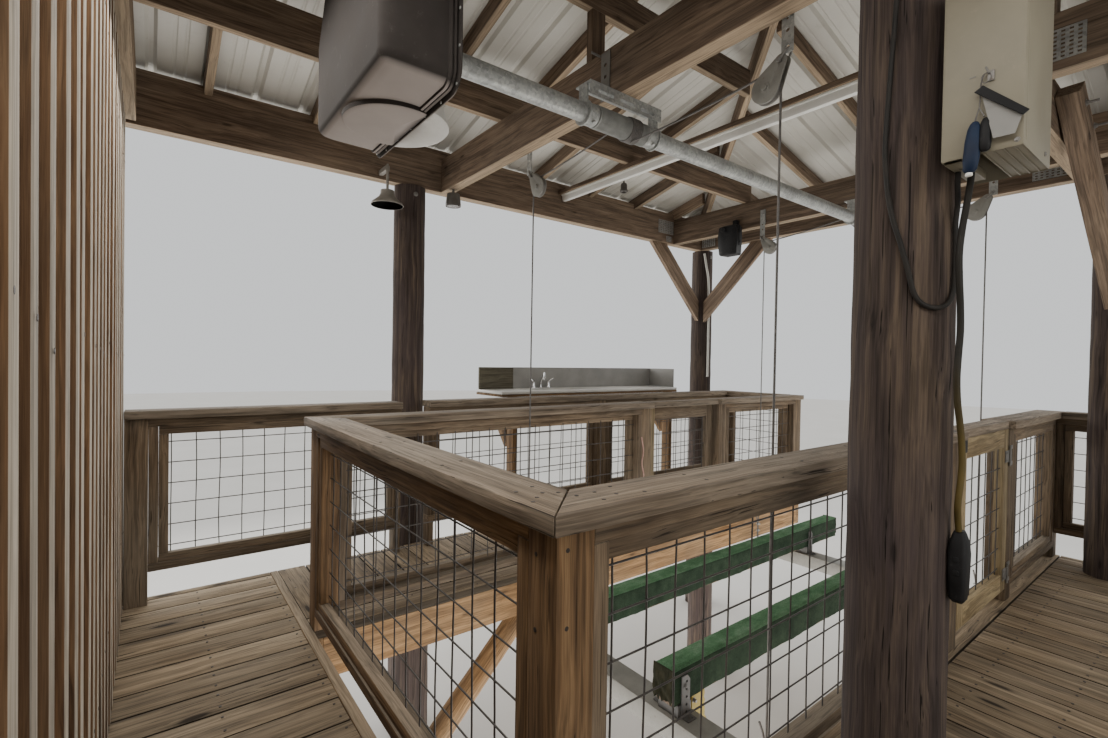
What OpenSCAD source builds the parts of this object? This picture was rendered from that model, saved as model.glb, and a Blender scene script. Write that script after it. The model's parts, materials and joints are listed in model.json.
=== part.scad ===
// Open boathouse: an end wall, decks round three sides of a slip, a boat lift
// and a hip roof of ribbed metal on round piles.
// Millimetres, +Z up. The origin is under the middle of the roof, level with the foot of the piles.

/* [Levels] */
// Foot of the piles below the deck top
pile_drop = 1200; // [1000:10:2000]
// Underside of the headers above the deck top
head_z = 2280; // [2150:10:2600]
// Fall of the roof for each metre of run
roof_fall = 240; // [180:5:320]
// Roof underside above the headers' underside, at the far header
roof_lift = 320; // [310:5:400]

/* [Plan] */
// Head walkway, wall face to the rim joist
head_w = 660; // [600:10:1200]
// Length of the slip
slip_len = 4032; // [3900:10:6000]
// Width of the slip
slip_w = 1565; // [1500:5:2400]
// Far walkway width
far_w = 815; // [760:5:1400]
// Near walkway width
near_w = 1797; // [1600:5:2400]
// Wall thickness
wall_t = 120; // [90:5:200]
// Roof overhang outside the headers
eave = 300; // [200:10:500]
// Roof overhang outside the end wall
rake = 250; // [150:10:400]

/* [Timber] */
// Thickness of sawn boards and joists
lum = 38; // [32:1:45]
// Square post size
post = 89; // [75:1:110]
// Deck joist depth
joist_h = 184; // [140:1:235]
// Header depth
header_h = 235; // [200:1:290]
// Header width, two boards together
header_w = 76; // [60:1:90]
// Rafter depth, measured plumb
rafter_h = 92; // [80:1:140]
// Deep ceiling joist depth
purlin_h = 184; // [160:1:200]
// Upper ceiling joist depth
purlin_s = 140; // [100:1:150]
// Spacing of the rafters across the far and near slopes
rafter_pitch = 520; // [450:5:600]
// Spacing of the rafters on the hipped end
jack_pitch = 560; // [500:5:640]

/* [Piles] */
// Diameter of the round piles
pile_d = 200; // [170:2:240]
// First row of tall piles from the slip's head
pile_x1 = 770; // [700:10:900]
// Second row of tall piles back from the open end
pile_x2 = 230; // [210:5:400]

/* [Railings] */
// Top of the rail cap above the deck
rail_h = 914; // [860:1:1067]
// Width of the rail cap
cap_w = 140; // [120:1:160]
// Mesh opening pitch
mesh = 100; // [75:5:150]
// Mesh wire thickness
wire = 5; // [4:0.5:6]
// Width of each gate
gate_w = 720; // [650:5:800]
// Gap round each gate
gate_gap = 10; // [8:1:15]

/* [Boat lift] */
// First lifting beam from the slip's head
lift_x = 1000; // [960:10:1300]
// Second lifting beam before the second row of tall piles
lift_back = 510; // [470:10:900]
// Drive shaft below the headers' underside
shaft_dz = 115; // [105:1:150]
// Drive shaft diameter
shaft_d = 73; // [60:1:80]
// Winder drum diameter
drum_d = 110; // [100:1:130]
// Winder drum length
drum_l = 290; // [240:5:320]
// Sheave diameter
sheave_d = 90; // [80:2:110]
// Sheave centre below the headers' underside
sheave_dz = 190; // [150:5:240]
// Lift cable diameter
cable_d = 8; // [6:1:10]
// Bunk width
bunk_w = 100; // [80:2:130]
// Bunk depth
bunk_h = 150; // [120:2:190]
// Cradle channel width
chan_w = 120; // [100:2:140]
// Cradle channel depth
chan_h = 90; // [70:2:110]

/* [Hidden] */
x_wall = -130;
x_rim = x_wall + head_w;
x_slip = x_rim + lum;
x_end = x_slip + slip_len;
y_near_e = 845;
y_far_e = y_near_e + slip_w;
y_far = y_far_e + far_w;
y_near = y_near_e - near_w;
y_mid = (y_near_e + y_far_e) / 2;
y_ridge = (y_far + y_near) / 2;

pile_r = pile_d / 2;
px1 = x_slip + pile_x1;
px2 = x_end - pile_x2;
py_far = y_far + pile_r;
py_near = y_near - pile_r;
py_mid = y_near_e - 370;

hdr_f = y_far + 45;
hdr_n = py_mid + pile_r;
hdr_x = px2 - pile_r;
plate_z = head_z + header_h + lum;
zu_hdr = head_z + roof_lift;

rx0 = x_wall - wall_t - rake;
rx1 = hdr_x + header_w + eave;
half = hdr_f + header_w + eave - y_ridge;
rxr = rx1 - half;
sheet_t = 20;
function fall(d) = roof_fall * d / 1000;
z_ridge = zu_hdr + fall(hdr_f - y_ridge);
z_eave = z_ridge - fall(half);
function zy(y) = z_ridge - fall(abs(y - y_ridge));
function zx(x) = z_eave + fall(rx1 - x);

pur_y1 = y_far_e + 130;
pur_y2 = y_mid + 162;
pur_z1 = zy(pur_y1 + lum / 2) - rafter_h - purlin_h;
pur_z2 = zy(pur_y2 + lum / 2) - rafter_h - purlin_s;
beam_top = pur_z1;
hip_h = 140;

lb1 = x_slip + lift_x - header_w / 2;
lb2 = px2 - lift_back;
cb1 = lb1 + 1130;

px_m = (px1 + px2) / 2;
cap_z = rail_h - lum;
trim_h = 76;
hp = post / 2;
// The outer far rail stops either side of its pile
pile_a = px1 - pile_r - 20;
pile_b = px1 + pile_r - 43;
cap_e = (cap_w - post) / 2;
low_z = 66;
high_z = 155;
y_nr = y_near_e - 73;
y_fr = y_far_e + 42;
y_or = y_far - cap_w / 2;
y_on = y_near + cap_w / 2;
x_hr = x_slip + post / 2;
x_er = x_end - 50;
xg_n = x_slip + 2132;
xg_f = x_slip + 2092;

shaft_z = head_z - shaft_dz;
shaft_r = shaft_d / 2;
run = 0.3;
seat = 0.3;
sheave_z = head_z - sheave_dz;
sheave_r = sheave_d / 2;
cab_r = cable_d / 2;
sh_x1 = lb1 + header_w + 20;
sh_x2 = lb2 - 20;
sh_yf = y_far_e - 122;
sh_yn = y_near_e + 147;
chan_z = -200;
x_tail = lb2 + 230;

module at() translate([-(rx0 + rx1) / 2, -y_ridge, pile_drop]) children();
module bx(x0, x1, y0, y1, z0, z1) translate([x0, y0, z0]) cube([x1 - x0, y1 - y0, z1 - z0]);
// Round bar along z, x or y
module rod_z(x, y, z0, z1, r) translate([x, y, z0]) cylinder(h = z1 - z0, r = r, $fn = 48);
module rod_x(x0, x1, y, z, r) translate([x0, y, z]) rotate([0, 90, 0]) cylinder(h = x1 - x0, r = r, $fn = 48);
module rod(a, b, r) {
  d = b - a;
  l = norm(d);
  translate(a) rotate([0, acos(d[2] / l), atan2(d[1], d[0])]) cylinder(h = l, r = r, $fn = 24);
}
// Board cut from a profile in the YZ plane, or in the XZ plane
module cut_yz(x, t, p) translate([x - t / 2, 0, 0]) rotate([90, 0, 90]) linear_extrude(t) polygon(p);
module cut_xz(y, t, p) translate([0, y + t / 2, 0]) rotate([90, 0, 0]) linear_extrude(t) polygon(p);
module opp() translate([0, 2 * y_ridge, 0]) mirror([0, 1, 0]) children();
module both() {
  children();
  opp() children();
}

// ---- Foundations and decks

module piles() color([0.42, 0.36, 0.3]) at() {
  for (x = [px1, px2]) {
    rod_z(x, py_far, -pile_drop, head_z, pile_r);
    rod_z(x, py_near, -pile_drop, head_z, pile_r);
  }
  rod_z(px1, py_mid, -pile_drop, pur_z2, pile_r);
  rod_z(px2, py_mid, -pile_drop, head_z, pile_r);
  xw = x_wall - wall_t / 2;
  for (p = [[xw, y_far - 200], [xw, y_ridge], [xw, y_near + 200], [px1 - 260, y_far_e + 190],
    [px2 - 900, y_far_e + 190], [px2 - 900, y_near_e - 190], [x_rim - 150, y_mid]])
    rod_z(p[0], p[1], -pile_drop, -lum - joist_h, pile_r * 0.9);
}

module log_brace() color([0.5, 0.42, 0.32]) at()
  difference() {
    rod([px1 - 260, y_far_e + 190, -1000], [px1 + 470, y_far_e + 190, -270], 62);
    rod_z(px1 - 260, y_far_e + 190, -pile_drop, 0, pile_r * 0.9);
    bx(px1, px1 + 900, y_far_e, y_far, -lum - joist_h, 0);
  }

module head_deck() color([0.56, 0.49, 0.41]) at() bx(x_wall, x_rim, y_near, y_far, -lum, 0);
module far_deck() color([0.56, 0.49, 0.41]) at() bx(x_slip, x_end, y_far_e, y_far, -lum, 0);
module near_deck() color([0.56, 0.49, 0.41]) at() difference() {
  bx(x_slip, x_end, y_near, y_near_e, -lum, 0);
  for (x = [px1, px2]) rod_z(x, py_mid, -100, 100, pile_r + 6);
}

module joists_x(x0, x1, ys) {
  for (y = ys) bx(x0 + lum + seat, x1 - lum - seat, y, y + lum, -lum - joist_h, -lum);
  for (x = [x0, x1 - lum]) bx(x, x + lum, ys[0], ys[len(ys) - 1] + lum, -lum - joist_h, -lum);
}
module head_joists() color([0.5, 0.36, 0.24]) at() {
  xm = (x_wall + x_rim - lum) / 2;
  bx(x_rim, x_slip, y_near, y_far, -joist_h, 0);
  for (x = [x_wall, xm]) bx(x, x + lum, y_near, y_far, -lum - joist_h, -lum);
  for (y = [y_near, y_near_e, y_far_e - lum, y_far - lum], x = [[x_wall, xm], [xm, x_rim]])
    bx(x[0] + lum + seat, x[1] - seat, y, y + lum, -lum - joist_h, -lum);
  bx(xm + lum + seat, x_rim - seat, y_mid - lum, y_mid + lum, -lum - joist_h, -lum);
}
module far_joists() color([0.55, 0.36, 0.22]) at()
  joists_x(x_slip, x_end, [y_far_e, y_far_e + 171, y_far_e + 500, y_far - lum]);
module near_joists() color([0.55, 0.36, 0.22]) at()
  joists_x(x_slip, x_end, [y_near, y_near + 430, y_near + 860, py_mid - pile_r - lum, py_mid + pile_r,
    y_near_e - lum]);

// ---- End wall

module end_wall() color([0.47, 0.37, 0.28]) at() {
  cut_yz(x_wall - wall_t / 2, wall_t, [[y_near, -lum - joist_h], [y_far, -lum - joist_h],
    [y_far, zy(y_far)], [y_ridge, z_ridge], [y_near, zy(y_near)]]);
  n = floor((y_far - y_near) / 150);
  for (i = [0 : n - 1]) bx(x_wall - 1, x_wall + 40, y_near + 30 + i * 150, y_near + 130 + i * 150, 0, head_z);
}

// ---- Beams

module wall_beam() color([0.62, 0.5, 0.36]) at()
  bx(x_wall, x_wall + header_w, y_near, y_far, head_z, beam_top);
module long_header(y) {
  bx(x_wall - wall_t, hdr_x + header_w, y, y + header_w, head_z, plate_z);
}
module side_headers() color([0.5, 0.38, 0.28]) at() both() long_header(hdr_f);
module near_header() color([0.5, 0.38, 0.28]) at()
  bx(x_wall + header_w, hdr_x, hdr_n, hdr_n + header_w, head_z, head_z + header_h);
module end_header() color([0.5, 0.38, 0.28]) at()
  bx(hdr_x, hdr_x + header_w, 2 * y_ridge - hdr_f, hdr_f, head_z, plate_z);
module lift_beams() color([0.45, 0.33, 0.25]) at() {
  for (x = [lb1, lb2]) bx(x, x + header_w, hdr_n + header_w, hdr_f, head_z, beam_top);
  for (x = [cb1, lb2]) bx(x, x + header_w, 2 * y_ridge - hdr_f, hdr_n, head_z, beam_top);
}

// ---- Roof frame

module hips_far() {
  s = (rx1 - rxr) * sqrt(2);
  t = fall(lum / 2 / sqrt(2));
  f = fall(s) / sqrt(2);
  translate([rxr, y_ridge, 0]) rotate([0, 0, 45]) cut_xz(0, lum, [[lum, z_ridge - t - fall(lum) / sqrt(2)],
    [s - 60, z_ridge - t - f + fall(60) / sqrt(2)], [s - 60, z_ridge - t - f + fall(60) / sqrt(2) - hip_h],
    [lum, z_ridge - t - fall(lum) / sqrt(2) - hip_h]]);
}
module header_block() {
  bx(rx0, hdr_x + header_w, hdr_f, hdr_f + header_w, head_z, plate_z);
  opp() bx(rx0, hdr_x + header_w, hdr_f, hdr_f + header_w, head_z, plate_z);
  bx(hdr_x, hdr_x + header_w, 2 * y_ridge - hdr_f, hdr_f, head_z, plate_z);
}
module ceiling_joists() color([0.48, 0.36, 0.27]) at() both() {
  difference() {
    bx(x_wall + header_w, lb2 + header_w, pur_y1 - lum / 2, pur_y1 + lum / 2, pur_z1, pur_z1 + purlin_h);
    hips_far();
  }
  bx(x_wall, rxr + pur_y2 - y_ridge - 60, pur_y2 - lum / 2, pur_y2 + lum / 2, pur_z2, pur_z2 + purlin_s);
}
module joist_posts() color([0.5, 0.38, 0.28]) at() {
  bx(lb1, lb1 + header_w, pur_y2 - lum / 2, pur_y2 + lum / 2, beam_top, pur_z2);
  difference() {
    opp() bx(cb1, cb1 + header_w, pur_y2 - lum / 2, pur_y2 + lum / 2, beam_top, pur_z2);
    bx(x_wall, hdr_x, hdr_n - seat, hdr_n + header_w + seat, head_z, head_z + header_h + seat);
  }
}
module ridge_board() color([0.5, 0.38, 0.28]) at()
  bx(x_wall, rxr, y_ridge - lum / 2, y_ridge + lum / 2,
    z_ridge - fall(lum / 2) - joist_h, z_ridge - fall(lum / 2));
module hip_rafters() color([0.48, 0.36, 0.27]) at() both() difference() {
  hips_far();
  header_block();
  bx(rx0, rxr, y_ridge - lum, y_ridge + lum, z_ridge - 400, z_ridge);
}
module rafter_far(x) {
  y0 = max(y_ridge + lum / 2, y_ridge + (x - rxr) + 2 * lum);
  y1 = hdr_f + header_w + eave - 40;
  cut_yz(x, lum, [[y0, zy(y0)], [y1, zy(y1)], [y1, zy(y1) - rafter_h], [y0, zy(y0) - rafter_h]]);
}
module rafters_side() difference() {
  for (i = [0 : 7]) rafter_far(x_wall + 365 + i * rafter_pitch);
  header_block();
}
module side_rafters() color([0.52, 0.4, 0.3]) at() both() rafters_side();
module end_rafters() color([0.52, 0.4, 0.3]) at() difference() {
  for (i = [-4 : 3]) {
    y = y_ridge + 384 + i * jack_pitch;
    xa = rxr + abs(y - y_ridge) + 2 * lum;
    xb = rx1 - 40;
    cut_xz(y, lum, [[xa, zx(xa)], [xb, zx(xb)], [xb, zx(xb) - rafter_h], [xa, zx(xa) - rafter_h]]);
  }
  header_block();
}

// ---- Roof skin

module roof_far_skin() {
  y1 = y_ridge + half;
  polyhedron(
    points = [[rx0, y_ridge, z_ridge], [rxr, y_ridge, z_ridge], [rx1, y1, z_eave], [rx0, y1, z_eave],
      [rx0, y_ridge, z_ridge + sheet_t], [rxr, y_ridge, z_ridge + sheet_t],
      [rx1, y1, z_eave + sheet_t], [rx0, y1, z_eave + sheet_t]],
    faces = [[0, 1, 2, 3], [7, 6, 5, 4], [0, 4, 5, 1], [1, 5, 6, 2], [2, 6, 7, 3], [3, 7, 4, 0]]);
}
module roof_far() color([0.8, 0.8, 0.77]) at() roof_far_skin();
module roof_near() color([0.8, 0.8, 0.77]) at() opp() roof_far_skin();
module roof_end() color([0.8, 0.8, 0.77]) at() {
  y0 = y_ridge - half;
  y1 = y_ridge + half;
  polyhedron(
    points = [[rxr, y_ridge, z_ridge], [rx1, y0, z_eave], [rx1, y1, z_eave],
      [rxr, y_ridge, z_ridge + sheet_t], [rx1, y0, z_eave + sheet_t], [rx1, y1, z_eave + sheet_t]],
    faces = [[0, 1, 2], [5, 4, 3], [0, 3, 4, 1], [1, 4, 5, 2], [2, 5, 3, 0]]);
}

// Outline of a brace from a, going to the side s
function brace(a, s) = [[a, head_z - 700], [a, head_z - 500], [a + s * 500, head_z], [a + s * 700, head_z]];
module knee_braces() color([0.55, 0.43, 0.3]) at() {
  both() difference() {
    cut_xz(hdr_f + header_w / 2, lum, brace(px2 - pile_r * 0.8, -1));
    rod_z(px2, py_far, 0, head_z, pile_r + seat);
  }
  both() difference() {
    cut_yz(hdr_x + header_w / 2, lum, brace(py_far - pile_r * 0.8, -1));
    rod_z(px2, py_far, 0, head_z, pile_r + seat);
  }
  // Square timber from the near header's outer face down to the middle pile
  difference() {
    translate([px2 - 1065, hdr_n, 0]) rotate([0, 0, -4])
      cut_xz(-post / 2, post, [[0, head_z + 144], [1000, head_z - 790], [1000, head_z - 667],
        [64, head_z + 206]]);
    rod_z(px2, py_mid, 0, head_z, pile_r + seat);
  }
}

// ---- Railings

// Frame of flat boards with square strips inside that clamp the mesh; s is the walkway's side
module panel(l, zb, s) {
  e = s * (wire + lum) / 2;
  for (z = [zb, cap_z - lum]) bx(0, l, -hp, hp, z, z + lum);
  for (x = [0, l - lum]) bx(x, x + lum, -hp, hp, zb, cap_z);
  for (z = [zb + lum, cap_z - trim_h]) bx(lum, l - lum, e - lum / 2, e + lum / 2, z, z + lum);
  for (x = [lum, l - 2 * lum]) bx(x, x + lum, e - lum / 2, e + lum / 2, zb + lum, cap_z - lum);
}
module rail_x(x0, x1, y, zb, s) {
  bx(x0, x1, y - cap_w / 2, y + cap_w / 2, cap_z, rail_h);
  translate([x0, y, 0]) panel(x1 - x0, zb, s);
}
module rail_y(x, y0, y1, zb) {
  bx(x - cap_w / 2, x + cap_w / 2, y0 + cap_e, y1 - cap_e, cap_z, rail_h);
  translate([x, y0, 0]) rotate([0, 0, 90]) panel(y1 - y0, zb, 1);
}
module cap_x(x, y) bx(x - hp, x + hp, y - cap_w / 2, y + cap_w / 2, cap_z, rail_h);
module post_at(x, y, z0) bx(x - post / 2, x + post / 2, y - post / 2, y + post / 2, z0, cap_z);
module sheet(l, h) linear_extrude(wire) difference() {
  square([l, h]);
  for (i = [0 : floor((l - wire) / mesh)]) for (j = [0 : floor((h - wire) / mesh)])
    if (l - 2 * wire - i * mesh > wire && h - 2 * wire - j * mesh > wire)
      translate([wire + i * mesh, wire + j * mesh])
      square([min(mesh - wire, l - 2 * wire - i * mesh), min(mesh - wire, h - 2 * wire - j * mesh)]);
}
module mesh_x(x0, x1, y, zb) translate([x0 + lum, y + wire / 2, zb + lum]) rotate([90, 0, 0])
  sheet(x1 - x0 - 2 * lum, cap_z - 2 * lum - zb);
module mesh_y(x, y0, y1, zb) translate([x - wire / 2, y0 + lum, zb + lum]) rotate([90, 0, 90])
  sheet(y1 - y0 - 2 * lum, cap_z - 2 * lum - zb);

module head_rail() color([0.5, 0.41, 0.33]) at() {
  rail_y(x_hr, y_nr + hp, y_fr - hp, low_z);
  post_at(x_hr, y_nr, 0);
  post_at(x_hr, y_fr, 0);
  for (y = [y_nr, y_fr]) bx(x_hr - cap_w / 2, x_hr + hp, y - cap_w / 2, y + cap_w / 2, cap_z, rail_h);
}
module head_mesh() color([0.25, 0.25, 0.25]) at() mesh_y(x_hr, y_nr + hp, y_fr - hp, low_z);

module near_rail() color([0.5, 0.41, 0.33]) at() {
  g = xg_n + gate_w + 2 * gate_gap;
  rail_x(x_hr + hp, xg_n - post, y_nr, low_z, -1);
  rail_x(g + post, x_er - hp, y_nr, low_z, -1);
  for (x = [xg_n - hp, g + hp, x_er]) {
    cap_x(x, y_nr);
    post_at(x, y_nr, 0);
  }
}
module near_mesh() color([0.25, 0.25, 0.25]) at() {
  mesh_x(x_hr + hp, xg_n - post, y_nr, low_z);
  mesh_x(xg_n + gate_w + 2 * gate_gap + post, x_er - hp, y_nr, low_z);
}
module far_rail() color([0.5, 0.41, 0.33]) at() {
  g = xg_f + gate_w + 2 * gate_gap;
  rail_x(x_hr + hp, xg_f - post, y_fr, low_z, 1);
  rail_x(g + post, x_er - hp, y_fr, low_z, 1);
  for (x = [xg_f - hp, g + hp, x_er]) {
    cap_x(x, y_fr);
    post_at(x, y_fr, 0);
  }
}
module far_mesh() color([0.25, 0.25, 0.25]) at() {
  mesh_x(x_hr + hp, xg_f - post, y_fr, low_z);
  mesh_x(xg_f + gate_w + 2 * gate_gap + post, x_er - hp, y_fr, low_z);
}
module outer_rail_far() color([0.5, 0.41, 0.33]) at() {
  rail_x(x_wall + 40 + post, pile_a, y_or, high_z, -1);
  rail_x(pile_b, px_m - hp, y_or, high_z, -1);
  rail_x(px_m + hp, x_er - hp, y_or, high_z, -1);
  for (x = [pile_a - lum, pile_b]) bx(x, x + lum, y_or - hp, y_or + hp, 0, high_z);
  for (x = [x_wall + 40 + hp, px_m]) {
    cap_x(x, y_or);
    post_at(x, y_or, 0);
  }
}
module outer_mesh_far() color([0.25, 0.25, 0.25]) at() {
  mesh_x(x_wall + 40 + post, pile_a, y_or, high_z);
  mesh_x(pile_b, px_m - hp, y_or, high_z);
  mesh_x(px_m + hp, x_er - hp, y_or, high_z);
  mesh_y(x_er, y_fr + hp, y_or - hp, high_z);
}
module outer_rail_near() color([0.5, 0.41, 0.33]) at() {
  rail_x(px1 + hp, px_m - hp, y_on, high_z, 1);
  rail_x(px_m + hp, x_er - hp, y_on, high_z, 1);
  for (x = [px1, px_m]) {
    cap_x(x, y_on);
    post_at(x, y_on, 0);
  }
}
module outer_mesh_near() color([0.25, 0.25, 0.25]) at() {
  mesh_x(px1 + hp, px_m - hp, y_on, high_z);
  mesh_x(px_m + hp, x_er - hp, y_on, high_z);
  mesh_y(x_er, y_on + hp, y_nr - hp, high_z);
}
module end_rails() color([0.5, 0.41, 0.33]) at() {
  rail_y(x_er, y_fr + hp, y_or - hp, high_z);
  rail_y(x_er, y_on + hp, y_nr - hp, high_z);
  for (y = [y_or, y_on]) {
    post_at(x_er, y, 0);
    bx(x_er - hp, x_er + cap_w / 2, y - cap_w / 2, y + cap_w / 2, cap_z, rail_h);
  }
}
// ---- Gates, closed at rest: frame, cap, mesh and hinge barrels on the walkway side

hz = [150, 740];
// s is the side that the gate opens to
module gate(x0, y, s) {
  x1 = x0 + gate_w;
  yf = y + s * (hp - lum / 2);
  bx(x0, x1, y - hp, y + hp, cap_z, rail_h);
  for (z = [low_z, cap_z - post]) bx(x0 + trim_h, x1 - trim_h, yf - lum / 2, yf + lum / 2, z, z + post);
  for (x = [x0, x1 - trim_h]) bx(x, x + trim_h, yf - lum / 2, yf + lum / 2, low_z, cap_z);
  translate([x0 + trim_h, yf + wire / 2, low_z + post]) rotate([90, 0, 0])
    sheet(gate_w - trim_h * 2, cap_z - 2 * post - low_z);
  for (z = hz) {
    rod_z(x1 + gate_gap / 2, y + s * (hp + 6), z - 30, z + 30, 6);
    bx(x1 - 60, x1 + gate_gap / 2, y + s * (hp + 2) - 2, y + s * (hp + 2) + 2, z - 30, z + 30);
  }
}
module gate_near() color([0.66, 0.52, 0.3]) at() gate(xg_n + gate_gap, y_nr, -1);
module gate_far() color([0.6, 0.46, 0.3]) at() gate(xg_f + gate_gap, y_fr, 1);
module hinge_post(g, y, s) for (z = hz) for (e = [-50 - seat, 30 + seat]) {
  rod_z(g - gate_gap / 2, y + s * (hp + 6), z + e, z + e + 20, 6);
  bx(g - gate_gap / 2, g + 50, y + s * (hp + 2) - 2, y + s * (hp + 2) + 2, z + e, z + e + 20);
}
module gate_hinges() color([0.3, 0.3, 0.3]) at() {
  hinge_post(xg_n + gate_w + 2 * gate_gap, y_nr, -1);
  hinge_post(xg_f + gate_w + 2 * gate_gap, y_fr, 1);
}

// ---- Boat lift

module shaft() color([0.6, 0.62, 0.63]) at() {
  rod_x(x_rim + 20, x_tail, y_mid, shaft_z, shaft_r);
}
// Turns a half section of [radius, place along x] points round a line along x
module turned_x(x, y, z, section)
  translate([x, y, z]) rotate([0, 90, 0]) rotate_extrude($fn = 48) polygon(section);
// Half section of a winder drum: a flange at both ends, and cable grooves between them
drum_e = drum_l / 2;
drum_r = drum_d / 2;
flange_t = 6;
flange_r = drum_r + 14;
groove = cable_d / 2;
n_groove = floor((drum_l - 2 * flange_t - 4 * cable_d) / (1.5 * cable_d));
groove_run = (drum_l - 2 * flange_t - 2 * cable_d) / n_groove;
drum_section = concat(
  [[shaft_r, -drum_e], [flange_r, -drum_e], [flange_r, flange_t - drum_e], [drum_r, flange_t - drum_e]],
  [for (i = [0 : n_groove - 1]) let (c = (i - (n_groove - 1) / 2) * groove_run)
    each [[drum_r, c - groove], [drum_r - groove, c - groove / 3], [drum_r - groove, c + groove / 3],
      [drum_r, c + groove]]],
  [[drum_r, drum_e - flange_t], [flange_r, drum_e - flange_t], [flange_r, drum_e], [shaft_r, drum_e]]);
module winders() color([0.35, 0.35, 0.36]) at()
  for (x = [lb1 + header_w / 2, lb2 + header_w / 2]) turned_x(x, y_mid, shaft_z, drum_section);
// Housing under the bull wheel: the part of a flat round bowl that stands behind the cover's flange
bowl_r = 170;
bowl_h = 150;
bowl_x = x_slip + 46;
bowl_y = y_mid + 32.5;
module bull_wheel() color([0.75, 0.74, 0.7]) at() intersection() {
  translate([bowl_x, bowl_y, cz0 + 5]) rotate_extrude($fn = 96)
    polygon([[0, 0], [bowl_r - 12, 0], [bowl_r, 12], [bowl_r, 16], [bowl_r - 37, bowl_h], [0, bowl_h]]);
  bx(xf + 6 + seat, xf + 300, y_mid - 400, y_mid + 400, cz0 - 10, shaft_z - 40);
}
module shaft_brackets() color([0.62, 0.63, 0.63]) at()
  for (x = [lb1 + header_w / 2, lb2 + header_w / 2]) {
    l = drum_l / 2 + 60;
    bx(x - l, x + l, y_mid - 45, y_mid + 45, head_z - 8, head_z);
    for (e = [-l, l - 8]) difference() {
      bx(x + e, x + e + 8, y_mid - 45, y_mid + 45, shaft_z - 60, head_z - 8);
      rod_x(x + e - 1, x + e + 9, y_mid, shaft_z, shaft_r + run);
    }
  }
cy0 = y_mid - 330;
cy1 = y_mid + 350;
cz0 = head_z - 380;
cz1 = head_z + 260;
xf = x_slip + 92;
function cover(d) = [[cy0 + 60 + d, cz0 + d], [cy1 - 60 - d, cz0 + d], [cy1 - d, cz0 + 60 + d],
  [cy1 - d, cz1 - 290 - d], [cy1 - 170 - d, cz1 - d], [cy0 + 60 + d, cz1 - d], [cy0 + d, cz1 - 60 - d],
  [cy0 + d, cz0 + 60 + d]];
module drive_cover() color([0.22, 0.2, 0.19]) at() {
  difference() {
    translate([xf - 210, 0, 0]) rotate([90, 0, 90]) linear_extrude(210) polygon(cover(20));
    translate([xf - 204, 0, 0]) rotate([90, 0, 90]) linear_extrude(300) polygon(cover(26));
    translate([bowl_x, bowl_y, cz0 + 19]) rotate_extrude($fn = 96) translate([bowl_r - 33, 0]) square([18, 4]);
  }
  difference() {
    translate([xf, 0, 0]) rotate([90, 0, 90]) linear_extrude(6) polygon(cover(0));
    rod_x(xf - 1, xf + 7, y_mid, shaft_z, 60);
  }
  bx(xf - 60, xf + 6, pur_y2 - lum / 2 - 8, pur_y2 - lum / 2, cz1 - 20, pur_z2 + 100);
}

module pulley(x, y, s, zt) {
  for (e = [-13, 9]) {
    rod_x(x + e, x + e + 4, y, sheave_z, sheave_r + 8);
  }
  difference() {
    bx(x + (s > 0 ? 9 : -13), x + (s > 0 ? 13 : -9), y - 22, y + 22, sheave_z, zt);
    rod_x(x - 30, x + 30, y, sheave_z, sheave_r + 8);
  }
  bx(x + (s > 0 ? 13 : -20), x + (s > 0 ? 20 : -13), y - 22, y + 22, head_z + 10, zt);
  turned_x(x, y, sheave_z, sheave_section);
}
// Half section of a sheave with a groove for the cable
sheave_e = 9;
sheave_section = [[0, -sheave_e], [sheave_r + 5, -sheave_e], [sheave_r + 5, -cab_r - 1],
  [sheave_r - seat, -cab_r - 0.5],
  [sheave_r - seat, cab_r + 0.5], [sheave_r + 5, cab_r + 1], [sheave_r + 5, sheave_e], [0, sheave_e]];
module pulleys() color([0.6, 0.6, 0.58]) at()
  for (y = [sh_yf, sh_yn]) {
    pulley(sh_x1, y, -1, head_z + 120);
    pulley(sh_x2, y, 1, head_z + 120);
  }
// Quarter turn of cable over a sheave, from its top to the side s
module cable_bend(x, y, s) intersection() {
  translate([x, y, sheave_z]) rotate([0, 90, 0]) rotate_extrude($fn = 48) translate([sheave_r + cab_r, 0])
    circle(r = cab_r, $fn = 24);
  bx(x - 20, x + 20, s > 0 ? y : y - 90, s > 0 ? y + 90 : y, sheave_z + seat, sheave_z + 90);
}
// Run of cable from a drum, at the height z beside the shaft, to the top of a sheave on the side s
module cable_run(x, z, y, s) difference() {
  rod([x, y_mid + s * 8, z], [x, y, sheave_z + sheave_r + cab_r], cab_r);
  bx(x - 20, x + 20, s > 0 ? y - seat : y - 90, s > 0 ? y + 90 : y + seat, sheave_z, sheave_z + 90);
}
// One cable comes off the top of each drum and one off the bottom
module cables() color([0.3, 0.3, 0.3]) at()
  for (x = [sh_x1, sh_x2]) {
    cable_run(x, shaft_z + drum_r + cab_r + 1, sh_yf, 1);
    cable_run(x, shaft_z - drum_r - cab_r - 1, sh_yn, -1);
    cable_bend(x, sh_yf, 1);
    cable_bend(x, sh_yn, -1);
  }
module fall_cables() color([0.3, 0.3, 0.3]) at()
  for (x = [sh_x1, sh_x2]) {
    rod_z(x, sh_yf + sheave_r + cab_r, chan_z, sheave_z, cab_r);
    rod_z(x, sh_yn - sheave_r - cab_r, chan_z, sheave_z, cab_r);
  }
module channel(x) difference() {
  bx(x - chan_w / 2, x + chan_w / 2, y_near_e + 85, y_far_e - 55, chan_z - chan_h, chan_z);
  bx(x - chan_w / 2 + 8, x + chan_w / 2 - 8, y_near_e + 80, y_far_e - 50, chan_z - chan_h - 1, chan_z - 8);
}
chan_x = [sh_x1 + 44, sh_x2 + 20];
bunk_y = [y_mid - 265, y_mid + 355];
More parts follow.
